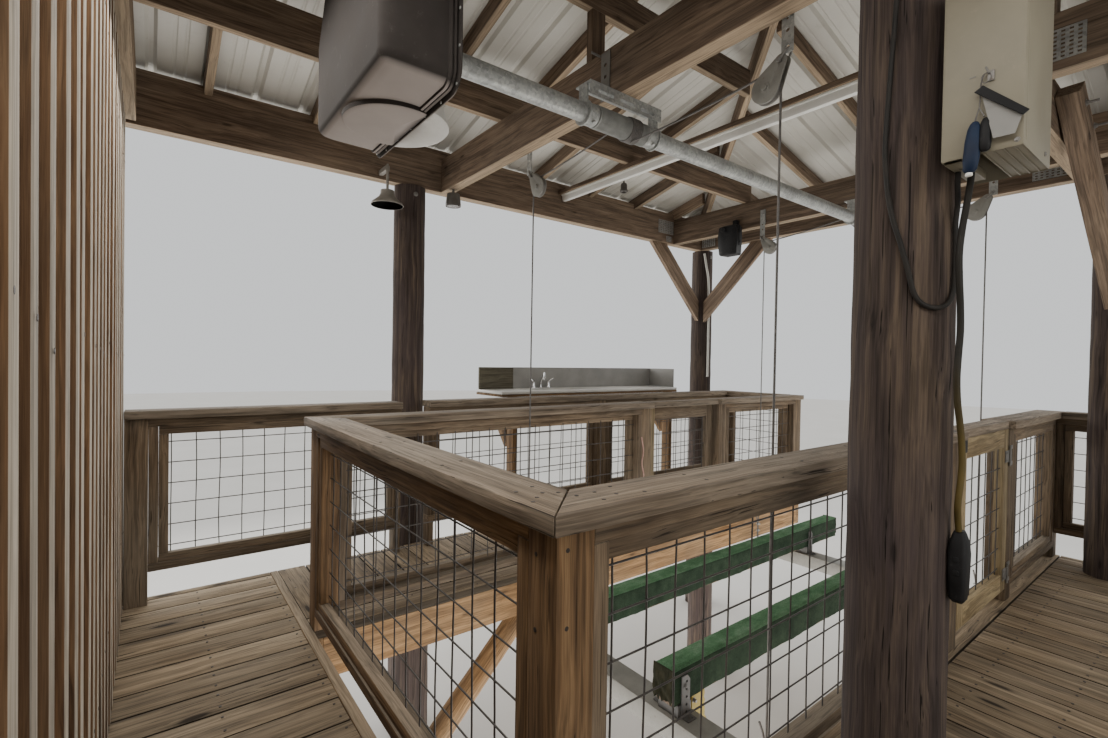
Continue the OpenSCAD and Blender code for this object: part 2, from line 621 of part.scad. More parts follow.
module bunks() color([0.16, 0.4, 0.24]) at()
  for (y = bunk_y) bx(chan_x[0] - 70, chan_x[1] + 400, y - bunk_w / 2, y + bunk_w / 2, -bunk_h, 0);
module cradle_frame() color([0.42, 0.43, 0.43]) at() for (x = chan_x) {
  channel(x);
  for (y = bunk_y) {
    bx(x - 40, x + 40, y - bunk_w / 2 - 6, y + bunk_w / 2 + 6, chan_z, -bunk_h);
    for (e = [-bunk_w / 2 - 6, bunk_w / 2]) bx(x - 40, x + 40, y + e, y + e + 6, -bunk_h, -bunk_h + 80);
  }
}

// ---- Fittings

module control_box() color([0.85, 0.84, 0.78]) at()
  bx(px1 - 118, px1 + 82, py_mid - pile_r - 126, py_mid - pile_r, 1570, 1920);
// Small box on the pile, with the gland that the power cord leaves
module junction_box() color([0.5, 0.5, 0.5]) at() {
  q = on_pile(power_pts[0]);
  difference() {
    union() {
      bx(q[0] - 42, q[0] + 24, q[1] - 35, q[1] + 35, q[2] + 14, q[2] + 124);
      rod_z(q[0], q[1], q[2], q[2] + 20, 9);
    }
    rod_z(px1, py_mid, 0, head_z, pile_r);
  }
}
// Cord routes: [angle round the pile, height] along its face, then free points
power_pts = [[187, 2016], [187, 1960], [186, 1900], [184, 1830], [182, 1760], [180, 1690], [179, 1630], [181, 1575],
  [184, 1525], [189, 1480], [195, 1440], [200, 1405], [204, 1375], [207, 1348], [210, 1328], [214.5, 1312],
  [221, 1302], [228.5, 1297.5], [236, 1298], [243.5, 1303], [249.5, 1313], [253.5, 1328], [255.5, 1348],
  [256, 1390], [256, 1430], [255, 1470]];
function on_pile(q) = [px1 + (pile_r + 6.5) * cos(q[0]), py_mid + (pile_r + 6.5) * sin(q[0]), q[1]];
power_end = [[px1 - 32, py_mid - pile_r - 7, 1510], [px1 - 40, py_mid - pile_r - 8, 1545],
  [px1 - 42, py_mid - pile_r - 9, 1570]];
handset_route = [[1300, 345, 1570], [1297, 346, 1540], [1287, 348, 1500], [1272, 350, 1450], [1262, 351, 1400],
  [1263, 350, 1350], [1269, 349, 1300], [1270, 348, 1250], [1262, 348, 1200], [1257, 348, 1155], [1264, 348, 1110],
  [1280, 348, 1070], [1295, 348, 1030], [1302, 348, 985], [1301, 349, 950], [1299, 351, 920], [1304, 354, 893],
  [1319, 357, 866], [1330, 358, 840]];
module tube(pts, d) for (i = [1 : len(pts) - 1]) hull()
  for (q = [pts[i - 1], pts[i]]) translate(q) sphere(d = d, $fn = 8);
module power_cord() color([0.2, 0.2, 0.2]) at() intersection() {
  tube(concat([for (q = power_pts) on_pile(q)], power_end), 10);
  union() {
    bx(px1 - 200, px1, py_mid - 200, py_mid + 200, 1200, 1570);
    bx(px1 - 200, px1, py_mid - 50, py_mid + 200, 1200, power_pts[0][1]);
  }
}
module handset_cord() color([0.35, 0.29, 0.14]) at() intersection() {
  tube(handset_route, 12);
  bx(px1 - 200, px1, py_mid - 200, py_mid, 840, 1570);
}
module handset() color([0.12, 0.12, 0.12]) at()
  bx(px1 - 22, px1 + 22, py_mid - pile_r - 34, py_mid - pile_r, 690, 840);
module speaker() color([0.1, 0.1, 0.1]) at() {
  bx(lb2 - 150, lb2 - 40, y_far_e + 95, y_far_e + 275, head_z - 215, head_z + 20);
  bx(lb2 - 40, lb2, y_far_e + 165, y_far_e + 205, head_z - 60, head_z + 80);
}
module lamps() color([0.75, 0.75, 0.72]) at() {
  translate([px1 - 210, hdr_f - 120, head_z - 190]) cylinder(h = 90, r1 = 95, r2 = 40, $fn = 48);
  rod_z(px1 - 210, hdr_f - 120, head_z - 100, head_z + 60, 14);
  bx(px1 - 224, px1 - 196, hdr_f - 120, hdr_f, head_z + 20, head_z + 48);
  bx(lb1 - 20, lb1 + 90, hdr_f - 160, hdr_f - 60, head_z - 110, head_z - 30);
  bx(lb1 + 30, lb1 + 46, hdr_f - 118, hdr_f - 102, head_z - 30, head_z);
}
module light_batten() color([0.88, 0.88, 0.85]) at() {
  bx(lb1 + 1000, lb1 + 1040, hdr_n + header_w + 100, hdr_f, pur_z1 - lum - 44, pur_z1 - lum);
  bx(lb1 + 980, lb1 + 1060, hdr_n + header_w, hdr_f, pur_z1 - lum, pur_z1);
}
module splash_panels() color([0.6, 0.61, 0.62]) at() {
  bx(px1 + 660, px2 - 470, y_far + 345, y_far + 351, rail_h + 40, rail_h + 210);
  bx(px2 - 476, px2 - 470, y_far + 40, y_far + 345, rail_h + 40, rail_h + 210);
}
module sink_counter() color([0.5, 0.45, 0.38]) at() {
  bx(px1 + 660, px2 - 470, y_far, y_far + 375, rail_h, rail_h + 40);
  for (x = [px1 + 760, px2 - 570]) {
    bx(x, x + lum, y_far, y_far + post, -joist_h, rail_h + 10);
    cut_yz(x + lum / 2, lum, [[y_far + post - 5, rail_h - 404], [y_far + 360, rail_h - 60],
      [y_far + 360, rail_h + 10], [y_far + 280, rail_h + 10], [y_far + post - 5, rail_h - 304]]);
  }
}

piles();
log_brace();
head_deck();
far_deck();
near_deck();
head_joists();
far_joists();
near_joists();
end_wall();
wall_beam();
side_headers();
near_header();
end_header();
lift_beams();
ceiling_joists();
joist_posts();
ridge_board();
hip_rafters();
side_rafters();
end_rafters();
roof_far();
roof_near();
roof_end();
knee_braces();
head_rail();
head_mesh();
near_rail();
near_mesh();
far_rail();
far_mesh();
outer_rail_far();
outer_mesh_far();
outer_rail_near();
outer_mesh_near();
end_rails();
gate_near();
gate_far();
gate_hinges();
shaft();
winders();
bull_wheel();
shaft_brackets();
drive_cover();
pulleys();
cables();
fall_cables();
cradle_frame();
bunks();
control_box();
junction_box();
power_cord();
handset();
handset_cord();
speaker();
lamps();
light_batten();
sink_counter();
splash_panels();
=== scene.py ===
# %% [markdown]
# # An open boathouse in Blender
# The solids of the boathouse come in as a fixed frame: walls, decks, rails, beams, lift. This lesson
# dresses that frame in sawn boards, round logs, ribbed metal, wire and steel. The frame could be
# painted as it is, but flat boxes have no board joints, round edges or fibres, so most timber is
# laid again board by board in the same place, and only then painted.

# %% Load the frame
import json
import math
import random

import bpy
import numpy as np
from mathutils import Matrix, Vector
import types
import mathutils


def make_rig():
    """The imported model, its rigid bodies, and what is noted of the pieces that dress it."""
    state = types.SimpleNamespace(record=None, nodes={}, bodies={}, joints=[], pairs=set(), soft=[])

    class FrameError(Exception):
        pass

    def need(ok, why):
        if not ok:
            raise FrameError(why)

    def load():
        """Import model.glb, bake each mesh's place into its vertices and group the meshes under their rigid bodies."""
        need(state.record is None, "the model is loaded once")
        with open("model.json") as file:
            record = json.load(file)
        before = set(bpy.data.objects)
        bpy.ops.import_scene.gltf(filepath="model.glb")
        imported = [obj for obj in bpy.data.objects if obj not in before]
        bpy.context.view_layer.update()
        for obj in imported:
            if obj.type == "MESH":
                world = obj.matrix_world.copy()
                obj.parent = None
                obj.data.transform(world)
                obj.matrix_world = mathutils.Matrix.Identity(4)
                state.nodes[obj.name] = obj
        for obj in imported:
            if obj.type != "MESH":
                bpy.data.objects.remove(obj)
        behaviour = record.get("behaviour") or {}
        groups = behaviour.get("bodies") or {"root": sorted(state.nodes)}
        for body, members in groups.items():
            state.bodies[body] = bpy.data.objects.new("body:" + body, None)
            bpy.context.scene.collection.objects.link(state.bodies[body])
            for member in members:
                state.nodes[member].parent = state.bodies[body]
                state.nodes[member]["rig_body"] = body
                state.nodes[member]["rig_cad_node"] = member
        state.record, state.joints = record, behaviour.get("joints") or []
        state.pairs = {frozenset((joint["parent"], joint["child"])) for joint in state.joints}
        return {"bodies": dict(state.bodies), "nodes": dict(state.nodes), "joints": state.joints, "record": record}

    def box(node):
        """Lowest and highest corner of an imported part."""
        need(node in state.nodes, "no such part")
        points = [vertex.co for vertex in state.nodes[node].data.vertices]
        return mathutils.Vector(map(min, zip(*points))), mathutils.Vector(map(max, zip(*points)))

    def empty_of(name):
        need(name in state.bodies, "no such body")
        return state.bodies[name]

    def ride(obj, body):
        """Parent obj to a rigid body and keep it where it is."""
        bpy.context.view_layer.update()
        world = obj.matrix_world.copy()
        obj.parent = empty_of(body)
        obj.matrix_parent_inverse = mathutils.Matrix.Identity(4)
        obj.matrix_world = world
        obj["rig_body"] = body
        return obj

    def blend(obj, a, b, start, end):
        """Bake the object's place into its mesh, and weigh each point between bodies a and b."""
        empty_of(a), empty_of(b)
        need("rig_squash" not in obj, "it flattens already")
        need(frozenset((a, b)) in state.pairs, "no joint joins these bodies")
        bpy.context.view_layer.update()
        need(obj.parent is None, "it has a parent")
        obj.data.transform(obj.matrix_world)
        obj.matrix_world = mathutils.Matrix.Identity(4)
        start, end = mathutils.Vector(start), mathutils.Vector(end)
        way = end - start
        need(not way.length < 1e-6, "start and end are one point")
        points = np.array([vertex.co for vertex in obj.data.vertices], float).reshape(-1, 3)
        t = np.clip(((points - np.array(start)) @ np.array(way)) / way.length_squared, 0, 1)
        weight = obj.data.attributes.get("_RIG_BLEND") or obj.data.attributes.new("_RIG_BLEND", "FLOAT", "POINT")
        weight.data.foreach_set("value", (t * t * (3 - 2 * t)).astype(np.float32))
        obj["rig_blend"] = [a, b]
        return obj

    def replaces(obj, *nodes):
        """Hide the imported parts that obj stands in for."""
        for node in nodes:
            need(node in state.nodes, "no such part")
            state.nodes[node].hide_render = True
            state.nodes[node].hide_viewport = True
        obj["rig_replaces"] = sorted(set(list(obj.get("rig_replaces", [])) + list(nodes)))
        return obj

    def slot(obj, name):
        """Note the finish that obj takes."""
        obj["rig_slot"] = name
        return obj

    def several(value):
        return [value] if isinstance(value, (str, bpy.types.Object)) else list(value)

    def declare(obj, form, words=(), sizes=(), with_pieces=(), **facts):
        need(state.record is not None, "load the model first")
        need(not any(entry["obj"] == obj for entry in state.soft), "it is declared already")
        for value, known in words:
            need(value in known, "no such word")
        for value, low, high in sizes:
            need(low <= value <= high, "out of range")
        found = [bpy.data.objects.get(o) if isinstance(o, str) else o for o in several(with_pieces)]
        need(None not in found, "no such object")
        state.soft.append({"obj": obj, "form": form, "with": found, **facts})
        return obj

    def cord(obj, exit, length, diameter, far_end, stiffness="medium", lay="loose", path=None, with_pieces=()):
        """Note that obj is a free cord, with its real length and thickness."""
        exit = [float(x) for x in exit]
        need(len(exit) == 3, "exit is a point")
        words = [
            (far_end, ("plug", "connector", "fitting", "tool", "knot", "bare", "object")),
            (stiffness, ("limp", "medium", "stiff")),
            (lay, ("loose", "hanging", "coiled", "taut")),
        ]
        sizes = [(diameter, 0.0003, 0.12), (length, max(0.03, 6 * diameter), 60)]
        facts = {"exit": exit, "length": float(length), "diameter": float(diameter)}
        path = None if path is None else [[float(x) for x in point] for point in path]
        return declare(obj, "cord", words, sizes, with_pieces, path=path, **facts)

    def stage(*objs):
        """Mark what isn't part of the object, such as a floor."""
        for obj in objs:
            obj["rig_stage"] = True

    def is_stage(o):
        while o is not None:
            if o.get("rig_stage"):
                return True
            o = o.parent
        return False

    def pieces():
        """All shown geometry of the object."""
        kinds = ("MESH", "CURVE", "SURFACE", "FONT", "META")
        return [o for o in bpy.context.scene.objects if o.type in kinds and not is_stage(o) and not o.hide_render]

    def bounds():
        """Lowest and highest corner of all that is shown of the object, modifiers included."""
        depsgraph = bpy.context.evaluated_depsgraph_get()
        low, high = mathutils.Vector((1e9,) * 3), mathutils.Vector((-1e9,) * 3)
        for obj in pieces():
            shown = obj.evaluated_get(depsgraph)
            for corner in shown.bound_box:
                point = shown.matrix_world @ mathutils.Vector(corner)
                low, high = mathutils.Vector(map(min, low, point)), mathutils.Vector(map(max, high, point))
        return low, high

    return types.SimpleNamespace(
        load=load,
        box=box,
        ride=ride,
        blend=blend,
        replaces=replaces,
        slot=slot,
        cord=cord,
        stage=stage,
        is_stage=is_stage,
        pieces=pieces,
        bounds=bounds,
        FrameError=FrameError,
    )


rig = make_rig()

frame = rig.load()
cad_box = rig.bounds()
chance = random.Random(11)
print("nodes in the frame:", len(frame["nodes"]))

# %% [markdown]
# Every place below is counted from one corner of the decks, as a builder would with a tape: x runs
# along the slip from the head walkway, y across the slip to the far walkway, z up from the deck.
# The corner is read off the frame, so the numbers stay small and can be checked on the real thing.

# %% Places
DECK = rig.box("head_deck")[1].z
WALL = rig.box("head_deck")[0].x
CORNER = Vector((WALL + 0.13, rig.box("far_deck")[0].y - 2.41, DECK))
X_RIM, X_SLIP, X_END = 0.53, 0.568, 4.6
Y_NEAR, Y_NEAR_E, Y_FAR_E, Y_FAR = -0.952, 0.845, 2.41, 3.225
Y_RIDGE = (Y_NEAR + Y_FAR) / 2
Y_MID = (Y_NEAR_E + Y_FAR_E) / 2
PX1, PX2, PY_MID, PILE_R = 1.338, 4.37, 0.475, 0.1
HEAD_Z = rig.box("near_header")[0].z - DECK
CAP_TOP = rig.box("head_rail")[1].z - DECK
LUM = 0.038
POST = 0.089
DOUBLE = 2 * LUM
JOIST_FOOT = -0.222
HAIR = 0.0005


def P(x, y, z):
    """A place counted from the deck's corner, as a point of the frame."""
    return Vector((x, y, z)) + CORNER


print("deck top at", round(DECK, 3), "m; headers", round(HEAD_Z, 3), "m above it")

# %% [markdown]
# The viewer stands on the near walkway with a wide lens, looking across the slip. The camera is set
# first, so that each piece can be judged from the same place as it is made.

# %% Camera
EYE = P(0.0, 0.0, 1.175)
LENS_MM = 17.256
YAW, PITCH, ROLL = math.radians(37.33), math.radians(-0.81), math.radians(-0.95)
ahead = Vector((math.sin(YAW) * math.cos(PITCH), math.cos(YAW) * math.cos(PITCH), math.sin(PITCH)))
level = Vector((math.cos(YAW), -math.sin(YAW), 0))
down = ahead.cross(level)
cam_x = math.cos(ROLL) * level + math.sin(ROLL) * down
cam_y = math.sin(ROLL) * level - math.cos(ROLL) * down
camera_data = bpy.data.cameras.new("camera")
camera_data.lens = LENS_MM
camera_data.sensor_width = 36
camera_data.clip_start = 0.01
camera = bpy.data.objects.new("camera", camera_data)
camera.matrix_world = Matrix.Translation(EYE) @ Matrix((cam_x, cam_y, -ahead)).transposed().to_4x4()
bpy.context.scene.collection.objects.link(camera)
bpy.context.scene.camera = camera
print("camera at", [round(v, 3) for v in EYE])

# %% [markdown]
# The first tools. An operator acts on all that is selected, so each piece starts by dropping the
# selection. A finished piece keeps its place in its mesh, rides on a body of the frame, and hides
# the solid that it stands for.

# %% Small tools
def drop():
    """Nothing selected, object mode."""
    if bpy.context.object and bpy.context.object.mode != "OBJECT":
        bpy.ops.object.mode_set(mode="OBJECT")
    bpy.ops.object.select_all(action="DESELECT")


def only(obj):
    drop()
    obj.select_set(True)
    bpy.context.view_layer.objects.active = obj
    return obj


def settle(obj):
    """Puts the object's place into its mesh."""
    only(obj)
    bpy.ops.object.transform_apply(location=True, rotation=True, scale=True)
    return obj


def edit(obj, *steps):
    """Runs edit-mode steps on everything in the mesh."""
    only(obj)
    bpy.ops.object.mode_set(mode="EDIT")
    bpy.ops.mesh.select_all(action="SELECT")
    for step in steps:
        step()
    bpy.ops.object.mode_set(mode="OBJECT")
    return obj


def modify(obj, kind, **settings):
    """Adds a modifier and applies it."""
    only(obj)
    m = obj.modifiers.new(kind.lower(), kind)
    for key, value in settings.items():
        setattr(m, key, value)
    bpy.ops.object.modifier_apply(modifier=m.name)
    return obj


def smooth(obj, angle=30):
    only(obj)
    bpy.ops.object.shade_smooth_by_angle(angle=math.radians(angle))
    return obj


def join(objs, name):
    """One piece from several."""
    drop()
    for o in objs:
        o.select_set(True)
    bpy.context.view_layer.objects.active = objs[0]
    if len(objs) > 1:
        bpy.ops.object.join()
    objs[0].name = name
    objs[0].data.name = name
    return objs[0]


def twin(obj, name="copy"):
    """A copy with its own mesh."""
    o = bpy.data.objects.new(name, obj.data.copy())
    bpy.context.scene.collection.objects.link(o)
    return o


def solid(*curves):
    """Turns curves into meshes."""
    only(curves[0])
    for o in curves:
        o.select_set(True)
    bpy.ops.object.convert(target="MESH")
    return list(curves)


def ease(obj, width, segments=1, angle=40):
    """Rounds the edges that are sharper than an angle."""
    return modify(obj, "BEVEL", width=width, segments=segments, limit_method="ANGLE",
                  angle_limit=math.radians(angle))


def outward():
    """Turns the selected faces outwards."""
    bpy.ops.mesh.normals_make_consistent(inside=False)


def carve(obj, tool):
    """Cuts a tool out of a form."""
    modify(obj, "BOOLEAN", object=tool, operation="DIFFERENCE", solver="EXACT")
    bpy.data.objects.remove(tool)
    return obj


def grid(cols, rows):
    """A flat grid one metre wide."""
    drop()
    bpy.ops.mesh.primitive_grid_add(x_subdivisions=cols, y_subdivisions=rows, size=1)
    return bpy.context.object


def points(obj):
    """The corners of a mesh as rows of x, y and z."""
    co = np.empty(len(obj.data.vertices) * 3)
    obj.data.vertices.foreach_get("co", co)
    return co.reshape(-1, 3)


def put_points(obj, co):
    obj.data.vertices.foreach_set("co", np.asarray(co, float).ravel())
    obj.data.update()
    return obj


def dress(obj, material, body="boathouse", nodes=(), slot=None):
    """Material, body, and the solids that the piece stands for."""
    obj.data.materials.clear()
    obj.data.materials.append(material)
    if body:
        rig.ride(obj, body)
    if nodes:
        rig.replaces(obj, *nodes)
    if slot:
        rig.slot(obj, slot)
    return obj


def piece(name, parts, material, body="boathouse", nodes=(), slot=None):
    """Joins parts as one named piece and dresses it."""
    return dress(join(parts, name), material, body, nodes, slot)


# %% [markdown]
# Wood is one recipe with several woods in it. The fibres have to follow each board, so every board
# carries its own coordinates in a "grain" attribute: along the board, across it, through it. Noise
# stretched along the first one makes streaks, a finer one makes fibres for the bump, thin dark
# slivers are drying cracks, and rings round far-apart cell points are knots. A random "tone" for
# each board keeps neighbours apart, and a slow noise in space greys what rain reaches. Faces that look
# up weather more than the rest and can get a colour of their own, and faces that look down can get a
# paler one. Faces that look along x can be painted pale, part weathering and part painted highlight,
# and faces that don't look up can be darkened as painted shade.

# %% Node helpers
def add(tree, kind, inputs=None, **settings):
    """A node with its settings and inputs, each input a value or another node's output."""
    n = tree.nodes.new(kind)
    for key, value in settings.items():
        setattr(n, key, value)
    for key, value in (inputs or {}).items():
        if isinstance(value, bpy.types.NodeSocket):
            tree.links.new(value, n.inputs[key])
        else:
            n.inputs[key].default_value = value
    return n


def ramp(tree, fac, stops):
    n = add(tree, "ShaderNodeValToRGB", {"Fac": fac})
    while len(n.color_ramp.elements) < len(stops):
        n.color_ramp.elements.new(0.5)
    for element, (place, colour) in zip(n.color_ramp.elements, stops):
        element.position = place
        element.color = (*colour, 1) if len(colour) == 3 else colour
    return n.outputs["Color"]


def grey(v):
    return (v, v, v)


def dimmed(colour, share):
    return tuple(share * c for c in colour)


def times(tree, a, b):
    return add(tree, "ShaderNodeMath", {0: a, 1: b}, operation="MULTIPLY").outputs[0]


def facing(tree, normal):
    """How far a face looks along x, from -1 to 1, and how far it looks up, from 0 to 1."""
    look = add(tree, "ShaderNodeSeparateXYZ",
               {0: add(tree, "ShaderNodeNewGeometry").outputs[normal]}).outputs
    tilt = add(tree, "ShaderNodeMapRange", {"Value": look[2], "From Min": -1.0, "From Max": 1.0}).outputs[0]
    return look[0], tilt


def mix(tree, fac, a, b, kind="MIX"):
    n = add(tree, "ShaderNodeMix", data_type="RGBA", blend_type=kind)
    for socket, value in ((n.inputs[0], fac), (n.inputs[6], a), (n.inputs[7], b)):
        if isinstance(value, bpy.types.NodeSocket):
            tree.links.new(value, socket)
        else:
            socket.default_value = (*value, 1) if isinstance(value, tuple) else value
    return n.outputs[2]


def noise(tree, vector, scale, stretch=(1, 1, 1), detail=3.0, rough=0.55):
    m = add(tree, "ShaderNodeMapping", {"Vector": vector, "Scale": stretch})
    return add(tree, "ShaderNodeTexNoise", {"Vector": m.outputs[0], "Scale": scale, "Detail": detail,
                                           "Roughness": rough}).outputs["Fac"]


def bump(tree, height, strength, distance):
    return add(tree, "ShaderNodeBump", {"Height": height, "Strength": strength,
                                        "Distance": distance}).outputs[0]


def fresh(name, rough, metal=0.0):
    """A new material, its tree, its main shader, and object coordinates."""
    m = bpy.data.materials.new(name)
    m.use_nodes = True
    tree = m.node_tree
    shader = tree.nodes["Principled BSDF"]
    shader.inputs["Roughness"].default_value = rough
    shader.inputs["Metallic"].default_value = metal
    place = add(tree, "ShaderNodeTexCoord").outputs["Object"]
    return m, tree, shader, place


# %% Wood
def wood(name, pale, mid, dark, weathered, greying=0.35, streak=1.0, cracks=0.5, knots=1.0, rough=0.85,
         front=None, top=None, under=None, painted_side_shade=None, knot_size=1.0):
    """Three tones of fibre, what weather turns them to, colours of its own for faces that look up and for faces that
    look down, a pale front that is part weathering and part painted highlight, and a painted shade on faces that don't
    look up.
    """
    m, tree, shader, place = fresh(name, rough)
    forward, tilt = facing(tree, "True Normal")
    shader.inputs["Specular IOR Level"].default_value = 0.25
    grain = add(tree, "ShaderNodeAttribute", attribute_name="grain").outputs["Vector"]
    tone = add(tree, "ShaderNodeAttribute", attribute_name="tone").outputs["Fac"]
    wander = noise(tree, grain, 2.2, (1, 3, 3), 2.0)
    sway = add(tree, "ShaderNodeVectorMath", {0: wander, 3: 0.05}, operation="SCALE").outputs[0]
    bent = add(tree, "ShaderNodeVectorMath", {0: grain, 1: sway}, operation="ADD").outputs[0]
    bands = noise(tree, bent, 1.0, (1.6, 34 * streak, 34 * streak), 4.0, 0.6)
    fibre = noise(tree, grain, 1.0, (9, 420, 420), 3.0, 0.7)
    colour = ramp(tree, bands, [(0.3, dark), (0.48, mid), (0.66, pale)])
    patch = noise(tree, place, 1.9, (1, 1, 1), 4.0, 0.6)
    grime = ramp(tree, patch, [(0.34, grey(0.0)), (0.7, grey(1.0))])
    colour = mix(tree, times(tree, grime, greying), colour, weathered)
    # Faces that look along x are painted pale: part weathering, part painted highlight.
    if front:
        lit_and_bleached = ramp(tree, forward, [(0.55, grey(0.0)), (0.8, grey(0.92))])
        pale_streaks = ramp(tree, bands, [(0.3, dimmed(front, 0.72)), (0.6, front)])
        colour = mix(tree, lit_and_bleached, colour, pale_streaks)
    # knots: sparse points in a stretched cell pattern, a dark heart and a brown ring
    squeezed = add(tree, "ShaderNodeMapping", {"Vector": bent, "Scale": (2.6, 10.5, 10.5)}).outputs[0]
    cell = add(tree, "ShaderNodeTexVoronoi", {"Vector": squeezed, "Scale": 1.0}).outputs["Distance"]
    heart = ramp(tree, cell, [(0.045 * knot_size, grey(1.0)), (0.075 * knot_size, grey(0.35)),
                              (0.13 * knot_size, grey(0.0))])
    colour = mix(tree, times(tree, heart, 0.75 * knots), colour, dimmed(dark, 0.35))
    # drying cracks: long, thin, only where the noise peaks
    split = noise(tree, bent, 1.0, (1.2, 150, 150), 2.0, 0.5)
    crack = times(tree, ramp(tree, split, [(0.655, grey(0.0)), (0.7, grey(1.0))]), cracks)
    colour = mix(tree, crack, colour, dimmed(dark, 0.25))
    for face_colour, stops in ((top, [(0.86, grey(0.0)), (0.94, grey(0.85))]),
                               (under, [(0.06, grey(0.85)), (0.14, grey(0.0))])):
        if face_colour:
            own = ramp(tree, bands, [(0.3, dimmed(face_colour, 0.62)), (0.62, face_colour)])
            colour = mix(tree, ramp(tree, tilt, stops), colour, own)
    # Painted shade: faces that don't look up are darkened, as the sides of deck boards in their gaps.
    if painted_side_shade:
        colour = mix(tree, 1.0, colour, ramp(tree, tilt, [(0.86, grey(painted_side_shade)), (0.94, grey(1.0))]),
                     "MULTIPLY")
    fine = ramp(tree, fibre, [(0.25, grey(0.62)), (0.75, grey(1.14))])
    colour = mix(tree, 1.0, colour, fine, "MULTIPLY")
    rings = noise(tree, bent, 1.0, (2.2, 120, 120), 2.0, 0.6)
    colour = mix(tree, 1.0, colour, ramp(tree, rings, [(0.34, grey(0.66)), (0.56, grey(1.08))]), "MULTIPLY")
    boards = ramp(tree, tone, [(0.0, grey(0.74)), (0.5, grey(0.98)), (1.0, grey(1.2))])
    colour = mix(tree, 1.0, colour, boards, "MULTIPLY")
    tree.links.new(colour, shader.inputs["Base Color"])
    height = mix(tree, 0.55, bands, fibre)
    height = mix(tree, crack, height, (0.0, 0.0, 0.0))
    tree.links.new(bump(tree, height, 0.55, 0.003), shader.inputs["Normal"])
    return m


# The deck boards' sides are darkened to 0.18, a painted shade in the gaps between boards.
deck_wood = wood("deck_wood", (0.345, 0.262, 0.168), (0.222, 0.162, 0.1), (0.092, 0.064, 0.038),
                 (0.31, 0.255, 0.183), greying=0.5, cracks=0.9, knots=1.3, painted_side_shade=0.18, knot_size=1.9)
rail_wood = wood("rail_wood", (0.26, 0.158, 0.078), (0.155, 0.088, 0.041), (0.068, 0.036, 0.016),
                 (0.2, 0.15, 0.098), greying=0.35, cracks=0.7, top=(0.26, 0.21, 0.155))
rail_grey = wood("rail_grey", (0.215, 0.155, 0.098), (0.128, 0.088, 0.054), (0.056, 0.037, 0.023),
                 (0.205, 0.168, 0.125), greying=0.6, cracks=0.8, top=(0.27, 0.225, 0.17))
cap_wood = wood("cap_wood", (0.285, 0.225, 0.165), (0.18, 0.137, 0.097), (0.074, 0.054, 0.038),
                (0.28, 0.24, 0.188), greying=0.55, cracks=0.9, knots=1.2)
beam_wood = wood("beam_wood", (0.285, 0.205, 0.142), (0.178, 0.124, 0.086), (0.08, 0.054, 0.038),
                 (0.235, 0.187, 0.142), greying=0.4, cracks=0.4, under=(0.44, 0.335, 0.225))
joist_wood = wood("joist_wood", (0.38, 0.23, 0.108), (0.25, 0.138, 0.057), (0.118, 0.06, 0.024),
                  (0.27, 0.21, 0.14), greying=0.4, cracks=0.6, top=(0.32, 0.26, 0.185))
wall_wood = wood("wall_wood", (0.25, 0.155, 0.084), (0.152, 0.084, 0.041), (0.064, 0.034, 0.017),
                 (0.21, 0.16, 0.11), greying=0.3, cracks=0.25, knots=0.4)
# The battens' fronts are painted pale, part weathering and part painted highlight.
batten_wood = wood("batten_wood", (0.22, 0.132, 0.068), (0.148, 0.079, 0.037), (0.068, 0.033, 0.015),
                   (0.16, 0.11, 0.07), greying=0.3, cracks=0.2, knots=0.3, front=(0.5, 0.44, 0.355))
plate_wood = wood("plate_wood", (0.23, 0.16, 0.095), (0.15, 0.1, 0.056), (0.075, 0.047, 0.027),
                  (0.2, 0.16, 0.115), greying=0.3, cracks=0.25, under=(0.36, 0.28, 0.19))
gate_wood = wood("gate_wood", (0.38, 0.295, 0.165), (0.27, 0.2, 0.105), (0.14, 0.095, 0.047),
                 (0.3, 0.255, 0.185), greying=0.4, cracks=0.4)
log_wood = wood("log_wood", (0.108, 0.079, 0.056), (0.056, 0.041, 0.033), (0.021, 0.015, 0.013),
                (0.056, 0.042, 0.041), greying=0.8, streak=1.4, cracks=0.9, knots=0.9, rough=0.9)
print("woods:", sum(m.name.endswith("wood") for m in bpy.data.materials))

# %% [markdown]
# Metals, paints and plastics. Galvanising shows as a faint patchwork of crystals, steel that hangs
# over water gets rust in its hollows, roofing has a soft chalky sheen, and the dark cover is
# painted sheet with a little dust. All of them vary slowly in tone, since no real surface is even.

